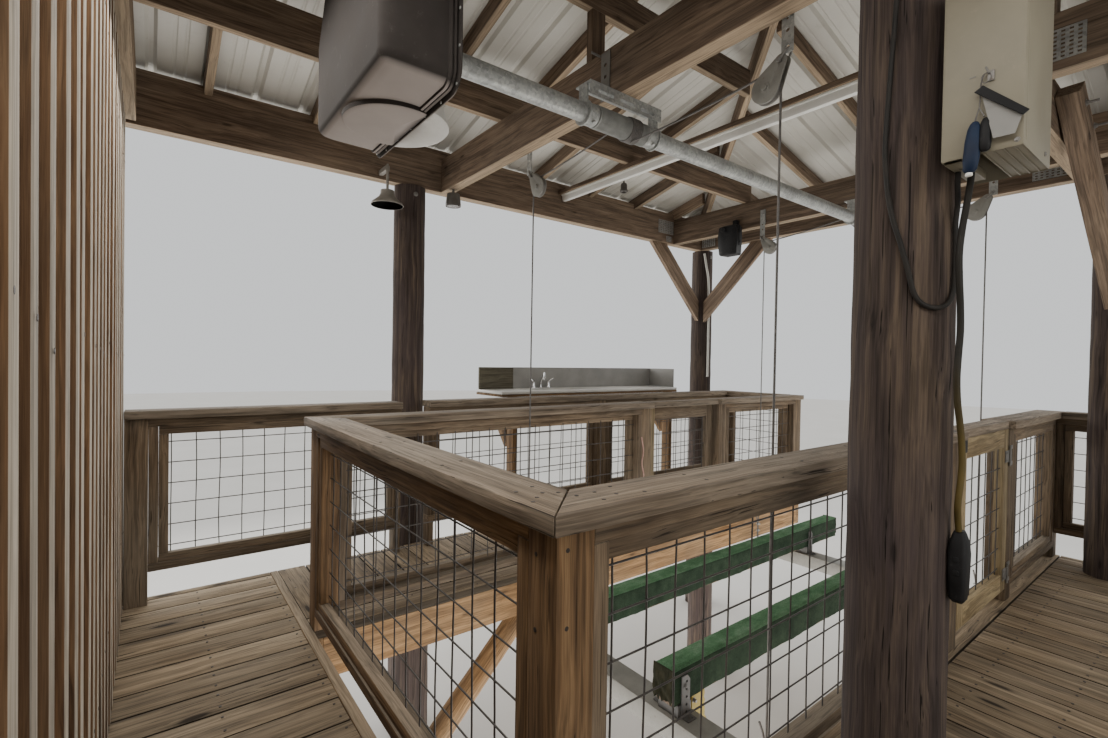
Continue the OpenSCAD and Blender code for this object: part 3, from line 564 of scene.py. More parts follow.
# %% Metals and paints
def coat(name, colour, other, rough, metal=0.0, scale=6.0, speck=0.0, speck_colour=(0, 0, 0),
         relief=0.15, depth=0.0006, stretch=(1, 1, 1), spec=0.5, under=None, fade=None):
    """Two tones of one finish, optional specks of rust or dirt, a paler underside that is painted reflected light from
    below, or a fade with height.
    """
    m, tree, shader, place = fresh(name, rough, metal)
    shader.inputs["Specular IOR Level"].default_value = spec
    tones = noise(tree, place, scale, stretch, 4.0, 0.6)
    mixed = ramp(tree, tones, [(0.32, colour), (0.68, other)])
    if speck:
        spots = noise(tree, place, scale * 7, stretch, 5.0, 0.75)
        mask = ramp(tree, spots, [(0.62 - 0.1 * speck, grey(0.0)), (0.7, grey(min(1.0, speck)))])
        mixed = mix(tree, mask, mixed, speck_colour)
    # Faces that look down take a paler colour, a painted reflection of light thrown up from below.
    if under:
        painted_underlight = ramp(tree, facing(tree, "Normal")[1], [(0.02, grey(0.9)), (0.18, grey(0.0))])
        mixed = mix(tree, painted_underlight, mixed, ramp(tree, tones, [(0.3, dimmed(under, 0.85)), (0.7, under)]))
    if fade:
        low, high, above = fade
        height = add(tree, "ShaderNodeSeparateXYZ", {0: place}).outputs[2]
        share = add(tree, "ShaderNodeMapRange", {"Value": height, "From Min": low,
                                                 "From Max": high}).outputs[0]
        mixed = mix(tree, share, mixed, above)
    tree.links.new(mixed, shader.inputs["Base Color"])
    fine = noise(tree, place, 160.0, stretch, 3.0, 0.6)
    rougher = add(tree, "ShaderNodeMapRange", {"Value": tones, "From Min": 0.3, "From Max": 0.7,
                                               "To Min": max(0.0, rough - 0.1),
                                               "To Max": min(1.0, rough + 0.12)})
    tree.links.new(rougher.outputs[0], shader.inputs["Roughness"])
    tree.links.new(bump(tree, fine, relief, depth), shader.inputs["Normal"])
    return m


def spangle(name, light, dark, rough):
    """Galvanised steel: crystals a centimetre across."""
    m, tree, shader, place = fresh(name, rough, 0.55)
    cells = add(tree, "ShaderNodeTexVoronoi", {"Vector": place, "Scale": 95.0}).outputs["Color"]
    even = add(tree, "ShaderNodeRGBToBW", {0: cells}).outputs[0]
    patch = noise(tree, place, 9.0, (1, 1, 1), 4.0)
    tone = ramp(tree, even, [(0.0, dark), (1.0, light)])
    tone = mix(tree, ramp(tree, patch, [(0.45, grey(0.0)), (0.75, grey(0.5))]), tone, dimmed(dark, 0.55))
    tree.links.new(tone, shader.inputs["Base Color"])
    tree.links.new(bump(tree, even, 0.08, 0.0008), shader.inputs["Normal"])
    return m


galvanised = spangle("galvanised", (0.47, 0.48, 0.46), (0.26, 0.27, 0.265), 0.5)
drum_grey = coat("drum_grey", (0.23, 0.235, 0.225), (0.33, 0.335, 0.32), 0.5, 0.45, 30, 0.4,
                 (0.14, 0.12, 0.1))
dull_steel = coat("dull_steel", (0.17, 0.165, 0.155), (0.26, 0.25, 0.235), 0.5, 0.6, 14, 0.5,
                  (0.16, 0.07, 0.03))
plate_grey = coat("plate_grey", (0.19, 0.185, 0.165), (0.27, 0.265, 0.24), 0.55, 0.35, 11, 0.4,
                  (0.12, 0.07, 0.04))
cable_steel = coat("cable_steel", (0.1, 0.095, 0.09), (0.17, 0.16, 0.15), 0.5, 0.6, 60)
dark_wire = coat("dark_wire", (0.04, 0.036, 0.034), (0.085, 0.075, 0.066), 0.55, 0.4, 30, 0.4,
                 (0.14, 0.07, 0.035))
roof_pale = coat("roof_pale", (0.47, 0.455, 0.405), (0.56, 0.545, 0.5), 0.42, 0.0, 1.8, 0.25,
                 (0.3, 0.27, 0.22), relief=0.2, depth=0.001)
# The cover's paler underside colour is a painted reflection of the light thrown up from the water.
cover_paint = coat("cover_paint", (0.024, 0.02, 0.018), (0.04, 0.035, 0.032), 0.8, 0.0, 5, 0.25,
                   (0.11, 0.1, 0.09), spec=0.1, under=(0.42, 0.375, 0.35))
# The bowl's pale colour is partly a painted reflection of the light from below, as on the cover's underside.
wheel_pale = coat("wheel_pale", (0.46, 0.45, 0.42), (0.56, 0.55, 0.52), 0.5, 0.0, 8, 0.3,
                  (0.28, 0.26, 0.23))
# The off-white case is painted darker, part way to the olive beige it shows in shade.
box_plastic = coat("box_plastic", (0.18, 0.16, 0.113), (0.24, 0.218, 0.16), 0.5, 0.0, 5, 0.35,
                   (0.28, 0.24, 0.18))
black_plastic = coat("black_plastic", (0.006, 0.006, 0.007), (0.016, 0.016, 0.017), 0.55, 0.0, 12, 0.3,
                     (0.07, 0.07, 0.065), spec=0.22)
blue_plastic = coat("blue_plastic", (0.008, 0.015, 0.036), (0.014, 0.026, 0.056), 0.5, 0.0, 20, spec=0.2)
lamp_metal = coat("lamp_metal", (0.4, 0.39, 0.36), (0.52, 0.51, 0.47), 0.5, 0.2, 9, 0.3, (0.2, 0.17, 0.14))
white_paint = coat("white_paint", (0.66, 0.655, 0.62), (0.74, 0.735, 0.7), 0.4, 0.0, 5, 0.25,
                   (0.42, 0.4, 0.35))
yellow_paint = coat("yellow_paint", (0.3, 0.215, 0.03), (0.4, 0.3, 0.045), 0.6, 0.0, 9, 0.4,
                    (0.2, 0.13, 0.04))
chrome = coat("chrome", (0.62, 0.62, 0.62), (0.7, 0.7, 0.7), 0.16, 0.95, 9)
glass_pale = coat("glass_pale", (0.3, 0.31, 0.32), (0.38, 0.39, 0.4), 0.15, 0.0, 14)
cord_dark = coat("cord_dark", (0.012, 0.011, 0.01), (0.026, 0.023, 0.02), 0.6, 0.0, 25, spec=0.2)
cord_olive = coat("cord_olive", (0.055, 0.041, 0.016), (0.125, 0.092, 0.028), 0.6, 0.0, 7, spec=0.2,
                  fade=(2.18, 2.4, (0.018, 0.016, 0.013)))
nail_dark = coat("nail_dark", (0.03, 0.024, 0.02), (0.06, 0.047, 0.038), 0.6, 0.3, 60)
splash_grey = coat("splash_grey", (0.2, 0.195, 0.185), (0.27, 0.265, 0.25), 0.6, 0.0, 5, 0.3,
                   (0.11, 0.1, 0.085))
shade_grey = coat("shade_grey", (0.2, 0.185, 0.16), (0.3, 0.28, 0.25), 0.5, 0.4, 12, 0.4,
                  (0.12, 0.07, 0.04))
can_grey = coat("can_grey", (0.075, 0.068, 0.062), (0.12, 0.11, 0.1), 0.5, 0.2, 20, 0.3, (0.16, 0.13, 0.1))
dull_zinc = coat("dull_zinc", (0.075, 0.074, 0.072), (0.125, 0.122, 0.118), 0.6, 0.35, 14, 0.5,
                 (0.13, 0.07, 0.035))
rope_pink = coat("rope_pink", (0.36, 0.2, 0.17), (0.46, 0.3, 0.25), 0.8, 0.0, 40)
moss_wood = wood("moss_wood", (0.155, 0.135, 0.09), (0.098, 0.083, 0.055), (0.048, 0.04, 0.026),
                 (0.17, 0.16, 0.12), greying=0.6, cracks=0.4)
lens_brown = coat("lens_brown", (0.05, 0.04, 0.036), (0.075, 0.055, 0.05), 0.25, 0.0, 20)
counter_pale = coat("counter_pale", (0.42, 0.41, 0.385), (0.54, 0.53, 0.5), 0.45, 0.0, 3, 0.4,
                    (0.25, 0.22, 0.17))
print("finishes:", len(bpy.data.materials))

# %% [markdown]
# ## Cords, floor and light
# Two cords hang on the middle pile of the near walkway. One leaves the gland of the small box high
# on the pile, keeps to the wood, swings round under the control box in a loop and comes up into it.
# The other hangs from the control box to the handset. Each is one smooth curve through listed
# points, and its length is measured, since a cord can't be longer or shorter than it is.

# %% Cords
def smooth_route(route, steps=10):
    """A smooth line through every point of a route."""
    q = [Vector(p) for p in route]
    q = [2 * q[0] - q[1]] + q + [2 * q[-1] - q[-2]]
    out = []
    for a, b, c, d in zip(q, q[1:], q[2:], q[3:]):
        for k in range(steps):
            t = k / steps
            out.append(0.5 * (2 * b + (c - a) * t + (2 * a - 5 * b + 4 * c - d) * t ** 2
                              + (3 * b - a - 3 * c + d) * t ** 3))
    out.append(q[-2])
    return out


def cord_curve(name, line, diameter):
    """A round cord along a line of points."""
    data = bpy.data.curves.new(name, "CURVE")
    data.dimensions = "3D"
    spline = data.splines.new("POLY")
    spline.points.add(len(line) - 1)
    for point, q in zip(spline.points, line):
        point.co = (*q, 1)
    data.bevel_depth = diameter / 2
    data.bevel_resolution = 3
    data.use_fill_caps = True
    o = bpy.data.objects.new(name, data)
    bpy.context.scene.collection.objects.link(o)
    return o


def line_length(line):
    return sum((b - a).length for a, b in zip(line, line[1:]))


power_mm = [(187, 2016), (187, 1960), (186, 1900), (184, 1830), (182, 1760), (180, 1690), (179, 1630),
            (181, 1575), (184, 1525), (189, 1480), (195, 1440), (200, 1405), (204, 1375), (207, 1348),
            (210, 1328), (214.5, 1312), (221, 1302), (228.5, 1297.5), (236, 1298), (243.5, 1303),
            (249.5, 1313), (253.5, 1328), (255.5, 1348), (256, 1390), (256, 1430), (255, 1470)]
power_route = [P(PX1 + 0.1065 * math.cos(math.radians(a)), PY_MID + 0.1065 * math.sin(math.radians(a)),
                 z / 1000) for a, z in power_mm]
power_route += [P(PX1 - 0.032, PY_MID - 0.107, 1.51), P(PX1 - 0.04, PY_MID - 0.108, 1.545),
                P(PX1 - 0.042, PY_MID - 0.109, 1.57)]
handset_mm = [(1300, 345, 1570), (1297, 346, 1540), (1287, 348, 1500), (1272, 350, 1450), (1262, 351, 1400),
              (1263, 350, 1350), (1269, 349, 1300), (1270, 348, 1250), (1262, 348, 1200), (1257, 348, 1155),
              (1264, 348, 1110), (1280, 348, 1070), (1295, 348, 1030), (1302, 348, 985), (1301, 349, 950),
              (1299, 351, 920), (1304, 354, 893), (1319, 357, 866), (1330, 358, 840)]
handset_route = [P(x / 1000, y / 1000, z / 1000) for x, y, z in handset_mm]
power_line, handset_line = smooth_route(power_route), smooth_route(handset_route)
power = dress(cord_curve("power_cord_curve", power_line, 0.01), cord_dark, nodes=["power_cord"],
              slot="cord_rubber")
handset_lead = dress(cord_curve("handset_cord_curve", handset_line, 0.012), cord_olive,
                     nodes=["handset_cord"], slot="cord_rubber")
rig.cord(power, exit=power_line[0], length=line_length(power_line), diameter=0.01, far_end="object",
        stiffness="medium", lay="hanging")
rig.cord(handset_lead, exit=handset_line[0], length=line_length(handset_line), diameter=0.012,
        far_end="object", stiffness="medium", lay="hanging")
print("cords:", round(line_length(power_line), 3), "m and", round(line_length(handset_line), 3), "m")

# %% [markdown]
# The boathouse stands on a plain pale floor in soft light, as under a bright overcast sky. The sky
# lights it from all sides. Three broad lamps beyond its open sides give the boards their lit edges,
# a narrow one over the head walkway fills what the end wall shades, and one below the slip stands
# for light thrown up by water: it shows the roof from below.

# %% Floor and light
drop()
bpy.ops.mesh.primitive_circle_add(vertices=64, radius=40, fill_type="NGON", location=(0, 0, -0.002))
floor = bpy.context.object
edit(floor, lambda: bpy.ops.mesh.inset(thickness=30))
settle(floor)
floor.name = "floor"
floor_paint = coat("floor_paint", (0.54, 0.535, 0.52), (0.58, 0.575, 0.56), 0.9, 0.0, 0.8, relief=0.02)
floor.data.materials.append(floor_paint)
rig.stage(floor)

world = bpy.data.worlds.new("sky")
bpy.context.scene.world = world
world.use_nodes = True
sky = world.node_tree
back = sky.nodes["Background"]
SKY_LIGHT = 1.4
path = add(sky, "ShaderNodeLightPath")
seen = add(sky, "ShaderNodeMath", {0: path.outputs["Is Camera Ray"], 1: path.outputs["Is Glossy Ray"]},
           operation="MAXIMUM").outputs[0]
strength = add(sky, "ShaderNodeMapRange", {"Value": seen, "To Min": SKY_LIGHT, "To Max": 0.9}).outputs[0]
sky.links.new(strength, back.inputs["Strength"])
sky.links.new(mix(sky, seen, (1.0, 0.985, 0.95), (0.97, 0.99, 1.0)), back.inputs["Color"])


def lamp(name, place, target, size, power, colour):
    data = bpy.data.lights.new(name, "AREA")
    data.shape = "RECTANGLE"
    data.size, data.size_y = size
    data.energy = power
    data.color = colour
    o = bpy.data.objects.new(name, data)
    way = Vector(target) - Vector(place)
    o.matrix_world = Matrix.Translation(Vector(place)) @ way.to_track_quat("-Z", "Y").to_matrix().to_4x4()
    bpy.context.scene.collection.objects.link(o)
    return o


lamp("open_end", P(8.2, 2.6, 2.6), P(1.5, 1.2, 0.5), (5, 3), 60, (1.0, 0.98, 0.93))
lamp("far_side", P(1.2, 8.0, 2.4), P(1.2, 1.2, 0.6), (6, 3), 230, (1.0, 0.98, 0.93))
lamp("near_side", P(-0.8, -5.5, 2.6), P(1.2, 1.4, 0.9), (5, 3), 150, (1.0, 0.975, 0.92))
walk = lamp("head_walkway", P(0.12, 1.2, 2.22), P(0.75, 1.2, 0.4), (3.6, 0.4), 34, (1.0, 0.97, 0.92))
walk.visible_camera = False
glow = lamp("from_below", P(1.9, Y_MID, -1.15), P(1.9, Y_MID, 3.0), (9, 9), 720, (1.0, 0.97, 0.93))
glow.visible_camera = False
print("lamps:", len(bpy.data.lights))

# %% [markdown]
# ## Boards
# One board is modelled: a cube whose edges are bevelled and whose length is cut in eight, so that it
# can bow. Every other board is a copy whose corners are moved apart, which keeps the rounding of its
# edges the same at any size. Stretching the copy with a scale would stretch the rounding too.

# %% The first board
EDGE = 0.003


def cut_across(places, normal):
    """Cuts the mesh in edit mode with planes square to the normal."""
    for q in places:
        bpy.ops.mesh.select_all(action="SELECT")
        bpy.ops.mesh.bisect(plane_co=Vector(normal) * q, plane_no=normal)


drop()
bpy.ops.mesh.primitive_cube_add(size=1)
first_board = bpy.context.object
edit(first_board, lambda: bpy.ops.mesh.bevel(offset=EDGE, segments=2, affect="EDGES"),
     lambda: cut_across([-0.375, -0.25, -0.125, 0, 0.125, 0.25, 0.375], (1, 0, 0)))
smooth(first_board, 25)
FIRST = points(first_board)
print("first board:", len(first_board.data.polygons), "faces")


# %% [markdown]
# Round things are turned: a ring of points is extruded once for each step of a profile, and the rings
# are then set to their radii along an axis. Bars, bolts and washers all come from it.

# %% Turned and sawn pieces
def skin(name, rings, angle=35):
    """A closed skin over rings of points, each with the same number of points."""
    drop()
    bpy.ops.mesh.primitive_circle_add(vertices=len(rings[0]), radius=1)
    o = bpy.context.object
    bpy.ops.object.mode_set(mode="EDIT")
    bpy.ops.mesh.select_all(action="SELECT")
    for _ in rings[1:]:
        bpy.ops.mesh.extrude_region_move()
    bpy.ops.object.mode_set(mode="OBJECT")
    put_points(o, np.concatenate([np.array(ring) for ring in rings]))
    edit(o, lambda: bpy.ops.mesh.remove_doubles(threshold=0.00001),
         lambda: bpy.ops.mesh.fill_holes(sides=0), outward)
    o.name = name
    return smooth(o, angle)


def lathe(name, profile, at, axis, steps=32):
    """Turns a profile of (radius, distance along the axis) once round the axis."""
    spin = np.linspace(0, 2 * math.pi, steps, endpoint=False)
    axis = Vector(axis).normalized()
    side = axis.cross(Vector((0.1, 0.9, 0.4))).normalized()
    other = axis.cross(side)
    circle = np.outer(np.cos(spin), side) + np.outer(np.sin(spin), other)
    return skin(name, [np.array(at) + np.array(axis) * t + r * circle for r, t in profile])


def bar(a, b, r, steps=12):
    """A round bar from a to b with its ends eased."""
    a, b = Vector(a), Vector(b)
    l = (b - a).length
    e = min(r * 0.25, l * 0.2)
    return lathe("bar", [(r - e, 0), (r, e), (r, l - e), (r - e, l)], a, b - a, steps)


def slab(lo, hi, edge=0.0015, name="slab"):
    """A box with eased edges between two corners."""
    lo, hi = Vector(lo), Vector(hi)
    drop()
    bpy.ops.mesh.primitive_cube_add(size=1)
    o = bpy.context.object
    put_points(o, points(o) * np.array(hi - lo) + np.array((lo + hi) / 2))
    edit(o, lambda: bpy.ops.mesh.bevel(offset=edge, segments=2, affect="EDGES"))
    o.name = name
    return smooth(o, 30)


def bolt(at, axis, r=0.011, depth=0.007):
    """A hexagon head on a washer."""
    at, axis = Vector(at), Vector(axis).normalized()
    washer = lathe("washer", [(r * 1.5, 0), (r * 1.5, 0.0012), (r * 1.4, 0.0018)], at, axis, 16)
    head_form = lathe("head", [(r, 0.0018), (r, depth * 0.8), (r * 0.86, depth)], at, axis, 6)
    return [washer, head_form]


# %% A board anywhere
def stretch(values, length):
    """Moves the two ends of the first board apart without touching its rounded edges."""
    near_end = np.abs(values) > 0.49
    return np.where(near_end, np.sign(values) * (length / 2 - (0.5 - np.abs(values))), values * length)


def board(a, b, wide, thick, up=(0, 0, 1), mitre=(0, 0), bow=0.0015, tone=None):
    """A board from a to b. Wide is across, thick is along up, mitre slants its two ends."""
    a, b = Vector(a), Vector(b)
    along = (b - a).normalized()
    top = Vector(up) - along * Vector(up).dot(along)
    top.normalize()
    side = top.cross(along)
    length = (b - a).length
    u = stretch(FIRST[:, 0], length)
    v = stretch(FIRST[:, 1], wide)
    w = stretch(FIRST[:, 2], thick)
    grain = np.stack([u + chance.uniform(0, 90), v + chance.uniform(0, 90), w + chance.uniform(0, 90)], 1)
    end = FIRST[:, 0]
    u = u + v * np.where(end > 0.49, mitre[1], np.where(end < -0.49, mitre[0], 0.0))
    arch = (1 - (2 * end) ** 2) * min(1.0, length)
    v = v + arch * chance.uniform(-bow, bow)
    w = w - arch * abs(chance.uniform(0, bow))
    o = twin(first_board, "board")
    centre = (a + b) / 2
    frame_of = np.array([along, side, top])
    put_points(o, np.stack([u, v, w], 1) @ frame_of + np.array(centre))
    mark(o, grain, chance.random() if tone is None else tone)
    return o


def mark(o, grain, tone):
    """Stores the fibre coordinates and the tone of one board."""
    g = o.data.attributes.new("grain", "FLOAT_VECTOR", "POINT")
    g.data.foreach_set("vector", np.asarray(grain, np.float32).ravel())
    t = o.data.attributes.new("tone", "FLOAT", "POINT")
    t.data.foreach_set("value", np.full(len(o.data.vertices), tone, np.float32))


def block(lo, hi, along="x", **more):
    """A board that fills a box, given by two corners counted from the deck's corner."""
    lo, hi = Vector(lo), Vector(hi)
    c = (lo + hi) / 2
    size = hi - lo
    if along == "x":
        return board(P(lo.x, c.y, c.z), P(hi.x, c.y, c.z), size.y, size.z, **more)
    if along == "y":
        return board(P(c.x, lo.y, c.z), P(c.x, hi.y, c.z), size.x, size.z, **more)
    return board(P(c.x, c.y, lo.z), P(c.x, c.y, hi.z), size.x, size.y, up=(0, 1, 0), **more)


# %% [markdown]
# Beams, rafters and braces keep the exact shape that the frame gives them, slanted ends and all. Each
# is copied, its loose triangles are merged into flat faces, its edges are rounded a little, and its
# fibres run along its longest edge.

# %% Timbers with the frame's own shape
def longest_edge(o):
    co = points(o)
    ends = np.empty(len(o.data.edges) * 2, int)
    o.data.edges.foreach_get("vertices", ends)
    ends = ends.reshape(-1, 2)
    d = co[ends[:, 1]] - co[ends[:, 0]]
    return Vector(d[np.argmax((d ** 2).sum(1))]).normalized()


def timbers(node, material, slot, edge=0.003):
    """Copies a node, rounds its edges, and lays the fibres of each of its timbers."""
    o = twin(frame["nodes"][node], node + "_timber")
    edit(o, lambda: bpy.ops.mesh.remove_doubles(threshold=0.0001),
         lambda: bpy.ops.mesh.dissolve_limited(angle_limit=math.radians(1)))
    ease(o, edge, 2, 35)
    only(o)
    bpy.ops.object.mode_set(mode="EDIT")
    bpy.ops.mesh.separate(type="LOOSE")
    bpy.ops.object.mode_set(mode="OBJECT")
    parts = list(bpy.context.selected_objects)
    for part in parts:
        along = longest_edge(part)
        side = along.cross(Vector((0, 0, 1)) if abs(along.z) < 0.9 else Vector((0, 1, 0))).normalized()
        axes = np.array([along, side, along.cross(side)])
        shift = np.array([chance.uniform(0, 90) for _ in range(3)])
        mark(part, points(part) @ axes.T + shift, chance.random())
    o = join(parts, node + "_timber")
    smooth(o, 25)
    return dress(o, material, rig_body(node), [node], slot)


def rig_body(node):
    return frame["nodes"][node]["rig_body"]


beams = ["side_headers", "near_header", "end_header", "lift_beams", "ceiling_joists", "joist_posts",
         "ridge_board", "hip_rafters", "side_rafters", "end_rafters", "knee_braces"]
for node in beams:
    timbers(node, beam_wood, "beam_wood")
timbers("wall_beam", plate_wood, "beam_wood")
for node in ("head_joists", "far_joists", "near_joists"):
    timbers(node, joist_wood, "joist_wood")
print("timber pieces:", len(beams) + 4)


# %% [markdown]
# Round piles are logs: never quite round, thinner towards the top, with shallow flats and scars. One
# log is a cylinder with many rings, pushed in and out by slow waves for the form and a finer cloud
# pattern for the bark scars. Its fibres run upwards.

# %% Logs
def log_form(name, a, b, r0, r1, seed=0):
    """A log from a to b, with its radius going from r0 to r1."""
    a, b = Vector(a), Vector(b)
    length = (b - a).length
    drop()
    bpy.ops.mesh.primitive_cylinder_add(vertices=40, radius=1, depth=1, end_fill_type="NGON")
    o = bpy.context.object
    rings = max(6, int(length / 0.07))
    edit(o, lambda: cut_across([i / rings - 0.5 for i in range(1, rings)], (0, 0, 1)))
    co = points(o)
    t = co[:, 2] + 0.5
    spin = np.arctan2(co[:, 1], co[:, 0])
    wobble = (0.6 * np.sin(2 * spin + seed + 1.3 * t) + 0.4 * np.sin(3 * spin - 2 * seed + 2.2 * t)
              + 0.5 * np.sin(5 * spin + 7 * t + seed) * np.sin(9 * t + seed))
    radius = (r0 + (r1 - r0) * t) * (1 + 0.016 * wobble)
    up = (b - a).normalized()
    side = up.cross(Vector((0.3, 1, 0.1))).normalized()
    axes = np.array([side, up.cross(side), up])
    local = np.stack([co[:, 0] * radius, co[:, 1] * radius, t * length], 1)
    mark(o, np.stack([local[:, 2] + seed * 7.1, local[:, 0] + seed, local[:, 1]], 1), chance.random())
    put_points(o, local @ axes + np.array(a))
    o.name = name
    clouds = bpy.data.textures.new(name, "CLOUDS")
    clouds.noise_scale = 0.045
    clouds.noise_depth = 2
    modify(o, "DISPLACE", texture=clouds, strength=0.005, mid_level=0.5)
    return smooth(o, 50)


piles_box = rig.box("piles")
FOOT = piles_box[0].z - DECK
logs = []
for i, (x, y, top) in enumerate([(PX1, Y_FAR + PILE_R, HEAD_Z), (PX2, Y_FAR + PILE_R, HEAD_Z),
                                 (PX1, Y_NEAR - PILE_R, HEAD_Z), (PX2, Y_NEAR - PILE_R, HEAD_Z),
                                 (PX1, PY_MID, piles_box[1].z - DECK), (PX2, PY_MID, HEAD_Z)]):
    logs.append(log_form("pile", P(x, y, FOOT), P(x, y, top), PILE_R * 1.015, PILE_R * 0.965, i + 1))
short_logs = [(X_RIM - 0.72, y) for y in (Y_FAR - 0.2, Y_RIDGE, Y_NEAR + 0.2)]
short_logs += [(PX1 - 0.26, Y_FAR_E + 0.19), (PX2 - 0.9, Y_FAR_E + 0.19), (PX2 - 0.9, Y_NEAR_E - 0.19),
               (X_RIM - 0.15, Y_MID)]
for i, (x, y) in enumerate(short_logs):
    logs.append(log_form("pile", P(x, y, FOOT), P(x, y, JOIST_FOOT), 0.092, 0.088, i + 11))
for o in logs:
    co = points(o)
    co[:, 2] = np.maximum(co[:, 2], piles_box[0].z)
    put_points(o, co)
piece("pile_logs", logs, log_wood, nodes=["piles"], slot="weathered_pile")
brace_log = log_form("log_brace_log", P(PX1 - 0.215, Y_FAR_E + 0.19, -0.955),
                     P(PX1 + 0.455, Y_FAR_E + 0.19, -0.285), 0.064, 0.06, 31)
dress(brace_log, joist_wood, nodes=["log_brace"], slot="weathered_pile")
print("logs:", len(logs) + 1)

# %% [markdown]
# ## Decks
# The head walkway has its boards along the slip's axis, the two side walkways across it, with one
# board laid along the slip's edge as a border. Boards are 136 mm wide with a 6 mm gap, and the
# screws sit in pairs over each joist.

# %% Deck boards and screws
PITCH_B, BOARD_W = 0.1425, 0.1365


def ranks(a, b):
    """Board edges from a to b, the last one cut narrower."""
    out = []
    while a < b - 0.02:
        out.append((a, min(a + BOARD_W, b)))
        a += PITCH_B
    return out


drop()
bpy.ops.mesh.primitive_cylinder_add(vertices=8, radius=0.0045, depth=0.002)
first_screw = bpy.context.object
edit(first_screw, lambda: bpy.ops.mesh.inset(thickness=0.0012))
SCREW = points(first_screw)


def screw(x, y):
    return put_points(twin(first_screw, "screw"), SCREW + np.array(P(x, y, -0.0003)))


def pair(a, b):
    """Where two screws sit across a board, none in a narrow one."""
    return (a + 0.03, b - 0.03) if b - a > 0.1 else ()


head_boards, far_boards, near_boards, screws = [], [], [], []
for a, b in ranks(Y_NEAR, Y_FAR):
    end = chance.uniform(-0.003, 0.0)
    head_boards.append(block((-0.13, a, -LUM), (X_RIM + end, b, -HAIR), "x"))
    for x in (-0.108, 0.195, 0.505):
        screws += [screw(x, q) for q in pair(a, b)]
RIM0 = X_SLIP + 0.001
for a, b in ranks(RIM0, X_END):
    far_boards.append(block((a, Y_FAR_E + PITCH_B, -LUM), (b, Y_FAR - chance.uniform(0, 0.004), -HAIR),
                            "y"))
    near_boards.append(block((a, Y_NEAR + chance.uniform(0, 0.004), -LUM),
                             (b, Y_NEAR_E - PITCH_B, -HAIR), "y"))
    for y in (Y_FAR_E + 0.19, Y_FAR_E + 0.52, Y_FAR - 0.02):
        screws += [screw(q, y) for q in pair(a, b)]
    for y in (Y_NEAR + 0.02, Y_NEAR + 0.45, Y_NEAR + 0.88, 0.355, 0.594):
        screws += [screw(q, y) for q in pair(a, b) if min(abs(q - PX1), abs(q - PX2)) > 0.12]
far_boards.append(block((RIM0, Y_FAR_E, -LUM), (X_END, Y_FAR_E + BOARD_W, -HAIR), "x", tone=0.8))
near_boards.append(block((RIM0, Y_NEAR_E - BOARD_W, -LUM), (X_END, Y_NEAR_E, -HAIR), "x", tone=0.8))
for node, boards in (("head_deck", head_boards), ("far_deck", far_boards), ("near_deck", near_boards)):
    piece(node + "_boards", boards, deck_wood, nodes=[node], slot="deck_board")
piece("deck_screws", screws, nail_dark)
print("screws:", len(screws))

# %% [markdown]
# The end wall is clad in upright battens over brown boards. The battens stand proud by their own
# thickness, their fronts painted pale, part weathering and part painted highlight, their sides still
# brown, and are cut to uneven lengths at the deck. Above the beam the cladding runs on up to the
# roof, so the gable is closed.

# %% End wall
ROOF_FALL = 0.24
CLAD = 0.019
Z_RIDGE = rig.box("roof_far")[1].z - DECK - 0.02


def roof_under(y):
    """Underside of the long slopes above the deck, at a distance y across."""
    return Z_RIDGE - ROOF_FALL * abs(y - Y_RIDGE)


cladding = []
core_lo, core_hi = -0.25, -0.13
steps = 28
for i in range(steps):
    y0 = Y_NEAR + (Y_FAR - Y_NEAR) * i / steps
    y1 = Y_NEAR + (Y_FAR - Y_NEAR) * (i + 1) / steps - 0.0008
    top = min(roof_under(y0), roof_under(y1)) - 0.002
    cladding.append(block((core_lo, y0, JOIST_FOOT), (core_lo + CLAD, y1, top), "z", bow=0.0005))
    cladding.append(block((core_hi - CLAD, y0, JOIST_FOOT), (core_hi, y1, top), "z", bow=0.0005, tone=0.1))
studs = []
for y in (Y_NEAR, Y_RIDGE - LUM / 2, Y_FAR - LUM):
    top = roof_under(y + LUM / 2) - 0.014
    studs.append(block((core_lo + CLAD + 0.0002, y, JOIST_FOOT),
                       (core_hi - CLAD - 0.0002, y + LUM, top), "z"))
battens, batten_nails = [], []
for i in range(33):
    y = -0.893 + i * 0.1257 + chance.uniform(-0.006, 0.006)
    foot = chance.uniform(0.002, 0.02)
    wide = chance.choice((0.042, 0.044, 0.046))
    battens.append(block((core_hi, y, foot), (core_hi + 0.0385, y + wide, HEAD_Z - 0.001), "z", bow=0.003))
    for z in (0.35, 1.2, 2.05):
        z += chance.uniform(-0.03, 0.03)
        batten_nails.append(lathe("nail", [(0.0045, 0.0), (0.004, 0.0008), (0.001, 0.001)],
                                  P(core_hi + 0.0382, y + 0.4 * wide, z), (1, 0, 0), 8))
piece("end_wall_cladding", cladding + studs, wall_wood, nodes=["end_wall"], slot="wall_wood")
piece("wall_battens", battens, batten_wood, slot="wall_wood")
piece("wall_nails", batten_nails, nail_dark, slot="wall_wood")
print("wall boards:", len(cladding), "and battens:", len(battens))

# %% [markdown]
# ## Railings
# Each panel is two frames, one in the other: an outer one of boards laid flat, flush with the posts,
# and an inner one of square strips that clamps the edge of the wire mesh. A 2x6 cap lies over it.
# A panel is described along its own length, so one function serves both directions.

# %% Rail panels
CAP_Z = CAP_TOP - LUM
BELOW_CAP = CAP_Z - 0.0004
LOW, HIGH = 0.066, 0.155
STRIP = (0.003, 0.04)


